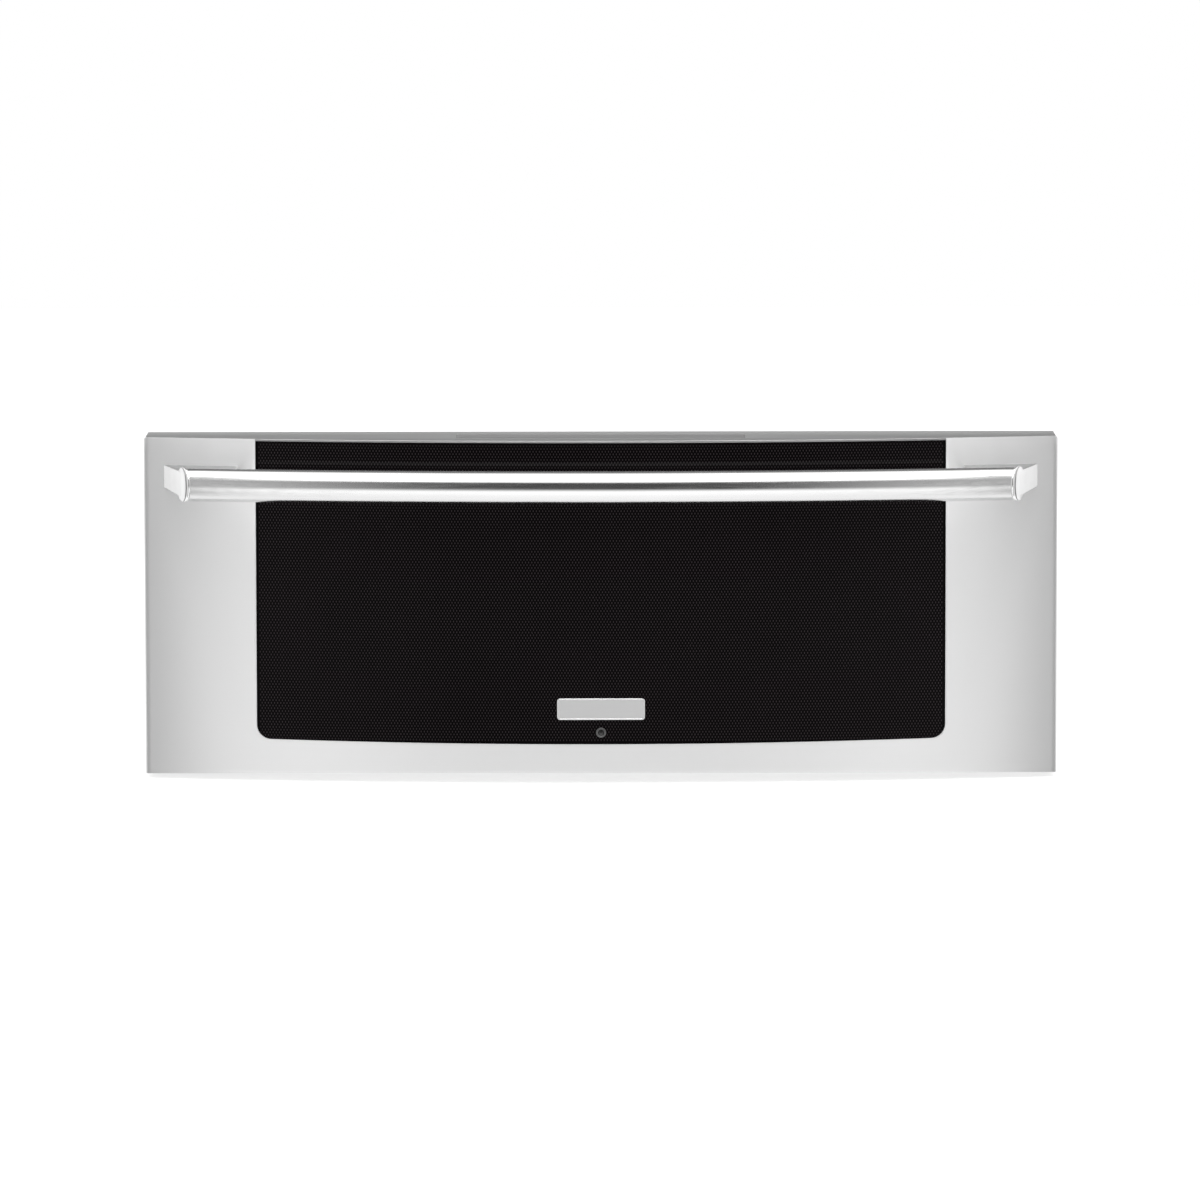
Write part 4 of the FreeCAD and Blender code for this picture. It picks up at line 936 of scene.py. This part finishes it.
def build_gasket():
    """Woven bulb gasket all round the cavity's mouth."""
    low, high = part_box("front_gasket")
    width = 8 * MM
    outline = rounded_rectangle((low.x, low.z), (high.x, high.z), 6 * MM)
    deep = high.y - low.y
    section = [(0.3, 0.0), (0.06, 0.35), (0.1, 0.7), (0.3, 0.94), (0.5, 1.0),
               (0.7, 0.94), (0.9, 0.7), (0.94, 0.35), (0.7, 0.0)]
    rings = []
    for across, up in section:
        ring = inset_outline(outline, across * width)
        rings.append([(x, low.y + up * deep, z) for x, z in ring])
    shaped("bulb_gasket", loft(rings, wrap=True), WEAVE, "drawer", "front_gasket")


# Pieces of the drawer

def build_pan():
    """Drawn pan with rounded floor edges, and a turned-out rim on three sides."""
    low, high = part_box("drawer_pan")
    gauge = 1 * MM
    edge = 0.2 * MM
    rim = 8 * MM
    corner = 14 * MM
    fillet = 6 * MM
    half = high.x - rim
    rear = high.y - rim
    outline = rounded_rectangle((-half, low.y), (half, rear), corner, 8)
    levels = []
    for turn in arc(0, 90, 6):
        levels.append((fillet * (1 - math.sin(turn)), low.z + fillet * (1 - math.cos(turn))))
    levels += [(0.0, high.z - edge), (edge, high.z), (gauge - edge, high.z), (gauge, high.z - edge)]
    inner = fillet - gauge
    for turn in arc(90, 0, 6):
        levels.append((gauge + inner * (1 - math.sin(turn)), low.z + gauge + inner * (1 - math.cos(turn))))
    rings = []
    for shrink, z in levels:
        rings.append([(x, y, z) for x, y in inset_outline(outline, shrink)])
    path = [(half, low.y + 2 * corner)]
    for turn in arc(0, 90, 8):
        path.append((half - corner + corner * math.cos(turn), rear - corner + corner * math.sin(turn)))
    path += [(-x, y) for x, y in reversed(path)]
    shape = merge(loft(rings), sweep_level(path, high.z, rim, gauge))
    shaped("drawn_pan", shape, PAN_STEEL, "drawer", "drawer_pan")


def sweep_level(path, top, reach, gauge):
    """Level flange that runs along the outside of a path."""
    round_over = 0.3 * MM
    section = (
        (0.0, -gauge), (reach - round_over, -gauge), (reach, -gauge * 0.7), (reach, -gauge * 0.3),
        (reach - round_over, 0.0), (0.0, 0.0),
    )
    rings = []
    for index, (x, y) in enumerate(path):
        before = Vector(path[max(0, index - 1)])
        after = Vector(path[min(len(path) - 1, index + 1)])
        along = (after - before).normalized()
        out = Vector((along.y, -along.x))
        rings.append([(x + out.x * across, y + out.y * across, top + up) for across, up in section])
    return loft(rings)


def cross_radius(turn, arm, half_width):
    """Distance from a screw's middle to the edge of its cross recess."""
    least = 0.0001
    across = max(abs(math.cos(turn)), least)
    up = max(abs(math.sin(turn)), least)
    return max(min(arm / across, half_width / up), min(half_width / across, arm / up))


def screw_shape(low, high, axis):
    """Pan-head screw with a cross recess, its head at the high end of its box."""
    number = "XYZ".index(axis)
    top = 2 * MM
    centre = list((low + high) / 2)
    centre[number] = high[number] - top
    head = (high - low)[(number + 1) % 3] / 2
    shank = 1.75 * MM
    tip = low[number] - centre[number]
    arm = head * 0.52
    half_width = head * 0.13
    notch = math.atan2(half_width, arm)
    quarter = [0.0, notch, *arc(30, 60, 2), math.pi / 2 - notch]
    turns = [turn + step * math.pi / 2 for step in range(4) for turn in quarter]
    profile = (
        (shank * 0.7, tip), (shank, tip + 0.3 * MM), (shank, 0.0), (head, 0.0), (head, 0.7 * MM),
        (head * 0.95, 1.2 * MM), (head * 0.8, 1.7 * MM), (head * 0.62, top),
    )
    rings = []
    for radius, along in profile:
        rings.append([turned(centre, axis, radius, turn, along) for turn in turns])
    for scale, along in ((1.0, top), (0.8, 0.8 * MM)):
        radii = [cross_radius(turn, arm, half_width) * scale for turn in turns]
        rings.append([turned(centre, axis, radius, turn, along) for radius, turn in zip(radii, turns)])
    return loft(rings)


def odd_axis(low, high):
    """The axis along which a turned piece's box differs from the other two."""
    size = high - low
    gaps = [abs(size[(axis + 1) % 3] - size[(axis + 2) % 3]) for axis in range(3)]
    return "XYZ"[gaps.index(min(gaps))]


def build_screws(node, name, body):
    """Every screw of a CAD node, with its recess."""
    shapes = [screw_shape(low, high, odd_axis(low, high)) for low, high in islands(node)]
    shaped(name, merge(*shapes), SCREW_STEEL, body, node)


def build_rivets():
    """Domed rivets that hold the vent's slider."""
    shank = 1.6 * MM
    rim = 0.25 * MM
    crown = 0.95 * MM
    shapes = []
    for low, high in islands("vent_rivets"):
        centre = face_centre(low, high, high.y - rim - crown)
        head = (high.x - low.x) / 2
        profile = [(shank, low.y - centre[1]), (shank, 0.0), (head, 0.0), (head, rim)]
        for turn in arc(15, 82, 6):
            profile.append((head * math.cos(turn), rim + crown * math.sin(turn)))
        shapes.append(lathe(profile, centre, 24))
    shaped("domed_rivets", merge(*shapes), SCREW_STEEL, "drawer", "vent_rivets")


# Pieces of the housing

def build_bumpers():
    """Rubber stops behind the drawer, with a rounded nose and a waist."""
    shapes = []
    for low, high in islands("rear_bumpers"):
        centre = face_centre(low, high, low.y)
        wide = (high.x - low.x) / 2
        deep = high.y - low.y
        nose = wide * 0.3
        profile = [(0.1 * wide, 0.0)]
        for turn in arc(90, 0, 6):
            profile.append((wide * 0.62 + nose * math.cos(turn), nose * (1 - math.sin(turn))))
        profile += [(wide * 0.92, deep * 0.55), (wide * 0.8, deep * 0.64), (wide * 0.8, deep * 0.72)]
        profile += [(wide * 0.96, deep * 0.8), (wide, deep * 0.86), (wide, deep)]
        shapes.append(lathe(profile, centre))
    shaped("rubber_stops", merge(*shapes), RUBBER, "housing", "rear_bumpers")


def build_bushing():
    """Rubber bushing in the terminal cover, with rounded flanges and an open bore."""
    low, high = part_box("cord_bushing")
    centre = face_centre(low, high, low.y)
    wide = (high.x - low.x) / 2
    deep = high.y - low.y
    bore = 4.5 * MM
    barrel = 8 * MM
    flange = 2 * MM
    round_over = 0.6 * MM
    profile = [
        (bore, 0.0), (wide - round_over, 0.0), (wide, round_over), (wide, flange - 0.2 * MM),
        (wide - 0.3 * MM, flange), (barrel, flange), (barrel, deep - flange),
        (wide - 0.3 * MM, deep - flange), (wide, deep - flange + 0.2 * MM), (wide, deep - 0.9 * MM),
        (wide - round_over, deep - 0.25 * MM), (wide - 1.4 * MM, deep),
        (bore + round_over, deep), (bore, deep - round_over),
    ]
    rings = []
    for turn in circle(40):
        rings.append([turned(centre, "Y", radius, turn, along) for radius, along in profile])
    shaped("rubber_bushing", loft(rings, wrap=True), RUBBER, "housing", "cord_bushing")


def wool_block(low, high, seed):
    """A batt of mineral wool: a soft-edged block with an uneven surface, inside its box."""
    cell_size = 18 * MM
    most_cells = 40
    size = high - low
    edge = min(size) * 0.22
    counts = [max(2, min(most_cells, round(length / cell_size))) for length in size]
    made = {}
    points = []
    faces = []

    def corner(cell):
        if cell not in made:
            made[cell] = len(points)
            spot = [low[axis] + size[axis] * cell[axis] / counts[axis] for axis in range(3)]
            points.append(soft_spot(spot, low, high, edge, seed))
        return made[cell]

    for axis in range(3):
        first = (axis + 1) % 3
        second = (axis + 2) % 3
        for end in (0, counts[axis]):
            for i in range(counts[first]):
                for j in range(counts[second]):
                    quad = ((end, i, j), (end, i + 1, j), (end, i + 1, j + 1), (end, i, j + 1))
                    faces.append(tuple(corner(cell[-axis:] + cell[:-axis]) for cell in quad))
    return points, faces


def soft_spot(spot, low, high, edge, seed):
    """Pulls a point of a block's surface inward, more at edges, by an uneven amount."""
    lumps_per_metre = 34
    depth = 0.35
    point = Vector(spot)
    inner = Vector(tuple(min(max(point[axis], low[axis] + edge), high[axis] - edge) for axis in range(3)))
    away = point - inner
    if away.length:
        point = inner + away.normalized() * edge
    lump = noise.noise(Vector(spot) * lumps_per_metre + Vector((seed, seed * 2, 0))) * 0.5 + 0.5
    return tuple(point + (inner - point) * depth * lump)


def build_wool():
    """Insulation batts in the housing's walls and in the drawer's front."""
    for seed, place in enumerate(("base", "top", "left", "right", "rear")):
        node = place + "_insulation"
        shape = wool_block(*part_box(node), seed)
        shaped(place + "_batt", shape, WOOL, "housing", node)
    low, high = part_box("front_insulation")
    vent_low, vent_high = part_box("vent_slider")
    gap = 7 * MM
    slot_z = (vent_low.z + vent_high.z) / 2
    reach = 96 * MM
    first_seed = 7
    under = slot_z - gap
    over = slot_z + gap
    blocks = (
        (low.x, low.z, high.x, under), (low.x, over, high.x, high.z),
        (low.x, under, -reach, over), (reach, under, high.x, over),
    )
    shapes = []
    for step, (left, bottom, right, top) in enumerate(blocks):
        start = Vector((left, low.y, bottom))
        shapes.append(wool_block(start, Vector((right, high.y, top)), first_seed + step))
    shaped("front_batt", merge(*shapes), WOOL, "drawer", "front_insulation")


# Nodes that keep their CAD shape

def dress(material, *nodes):
    """Gives CAD nodes a detailed material."""
    for node in nodes:
        mesh = frame["nodes"][node].data
        mesh.materials.clear()
        mesh.materials.append(material)


def dress_nodes():
    """Gives every node that no piece stands for its material."""
    dress(SCREW_STEEL, "handle_screws")
    dress(HOUSING_STEEL, "base_panel", "left_side_panel", "right_side_panel", "rear_panel", "top_panel")
    dress(HOUSING_STEEL, "terminal_cover")
    dress(LINER_STEEL, "cavity_floor", "left_liner", "right_liner", "cavity_roof", "cavity_rear")
    dress(LINER_STEEL, "inner_front_panel")
    dress(PAN_STEEL, "vent_slider")
    dress(SHEATH, "heating_element")
    dress(BRACKET_ZINC, "element_clips", "element_flange", "glass_clamps")
    dress(BRACKET_ZINC, "left_rail_bracket", "right_rail_bracket")
    dress(SENSOR_STEEL, "temperature_sensor", "thermal_cutout")
    dress(BOARD, "control_board", "power_board")
    dress(POST_PLASTIC, "board_posts")
    dress(LAMP_PLASTIC, "indicator_lamp")
    for side in SIDES:
        dress(RAIL_ZINC, side + "_outer_rail", side + "_mid_rail", side + "_inner_rail")
        dress(CAGE_STEEL, side + "_outer_ball_cage", side + "_inner_ball_cage")
        dress(LEVER_PLASTIC, side + "_glide_lever")


# Studio

def build_floor():
    """Pale floor under the part: white to the view apart from the part's shadow, and clear to shine."""
    reach = 4.0
    glow = 0.57
    corners = [(-reach, -reach, 0), (reach, -reach, 0), (reach, reach, 0), (-reach, reach, 0)]
    surface = Surface("studio_floor_pale")
    surface.set(Base_Color=grey(0.7), Roughness=0.9, Specular_IOR_Level=0.0)
    seen, shine = surface.rays()
    surface.set(Emission_Color=(1, 1, 1, 1), Emission_Strength=surface.math("MULTIPLY", seen, glow))
    clear = surface.add("BsdfTransparent")
    mixed = surface.add("MixShader")
    surface.join(mixed.inputs[0], shine)
    surface.join(mixed.inputs[1], surface.shader.outputs["BSDF"])
    surface.join(mixed.inputs[2], clear.outputs["BSDF"])
    surface.join(surface.tree.nodes["Material Output"].inputs["Surface"], mixed.outputs["Shader"])
    mesh = plain_mesh("studio_floor", corners, [(0, 1, 2, 3)], surface.material)
    show("studio_floor", mesh)


def level_ahead(room, across, up, beyond, fan):
    """Brightness ahead of the front: a dim middle between pale walls, a bright ceiling, a pale floor."""
    dim = 0.06
    wall = 0.70
    high = room.rise(up, 0.60, 0.95)
    low = room.span(up, 1.0, 0.0, start=-0.45, end=0.02, smooth=True)
    walls = room.span(across, dim, wall, start=0.10, end=0.36, smooth=True)
    floor_middle = room.span(across, 1.45, 1.33, end=0.35)
    floor = room.math("MULTIPLY", floor_middle, room.span(up, 0.8, 1.0, start=-0.95, end=-0.35))
    ceiling = room.span(across, 4.2, 3.4, end=0.35)
    inside = room.span(high, room.span(low, walls, floor), ceiling)
    gap = room.span(high, room.span(up, 0.02, 0.5, start=0.05, end=0.35), 0.04)
    side = room.rise(beyond, 0.13, 0.22)
    return room.span(fan, room.span(side, gap, wall), inside)


def level_behind(room, across, up, fan):
    """Brightness behind the front: pale, with a dark canopy above the horizon and a bright zenith."""
    canopy = room.math("MULTIPLY", fan, room.rise(up, 0.13, 0.22))
    zenith = room.rise(up, 0.72, 0.95)
    wide = room.span(across, 1.05, 0.68, start=0.62, end=0.9, smooth=True)
    return room.span(zenith, room.span(canopy, wide, 0.2), room.span(fan, 0.7, 1.6))


def build_world():
    """White to the view; to shine it is a soft studio, graded by direction."""
    world = bpy.data.worlds.new("studio")
    bpy.context.scene.world = world
    world.use_nodes = True
    room = Nodes(world.node_tree)
    way = room.add("SeparateXYZ")
    room.feed(way, Vector=room.add("TexCoord").outputs["Generated"])
    across = room.math("ABSOLUTE", way.outputs["X"])
    ahead = room.math("MULTIPLY", way.outputs["Y"], -1.0)
    up = way.outputs["Z"]
    narrow_up = room.span(up, 0.385, 0.20, start=0.12, end=1.0)
    narrow_down = room.span(up, 0.26, 0.385, start=-1.0, end=-0.14)
    beyond = room.math("SUBTRACT", across, room.math("MINIMUM", narrow_up, narrow_down))
    fan = room.span(beyond, 1.0, 0.0, start=-0.01, end=0.02, smooth=True)
    front = room.rise(ahead, -0.05, 0.12)
    level = room.span(front, level_behind(room, across, up, fan), level_ahead(room, across, up, beyond, fan))
    seen, shine = room.rays()
    level = room.span(shine, 1.0, level)
    room.feed(room.tree.nodes["Background"], Color=(1, 1, 1, 1), Strength=room.span(seen, level, 1.0))


def build_lamps():
    """One wide soft lamp above the front."""
    lamp = bpy.data.lights.new("overhead", "AREA")
    lamp.shape = "RECTANGLE"
    lamp.size = 1.9
    lamp.size_y = 1.4
    lamp.energy = 11
    show("overhead", lamp).location = (0, -0.5, 2.2)


def build_camera():
    """Camera at the photograph's place: ahead and a little above, looking slightly down."""
    distance = 7.5
    height = 1.045
    aside = 0.0047
    downward = 0.1242
    roll = 0.0016
    swing = 0.00056
    data = bpy.data.cameras.new("camera")
    data.lens = 260.5
    data.sensor_width = 36
    made = show("camera", data)
    made.location = (aside, -distance, height)
    made.rotation_euler = (math.pi / 2 - downward, roll, swing)
    bpy.context.scene.camera = made


build_camera()
build_skin()
build_front_floor()
build_glass()
build_top_strip()
build_plate()
build_indicator()
build_bar()
build_brackets()
build_gasket()
build_pan()
build_screws("drawer_screws", "drawer_screw_set", "drawer")
build_screws("housing_screws", "housing_screw_set", "housing")
build_rivets()
build_bumpers()
build_bushing()
build_wool()
dress_nodes()
build_floor()
build_world()
build_lamps()
bpy.context.scene.view_settings.view_transform = "Standard"
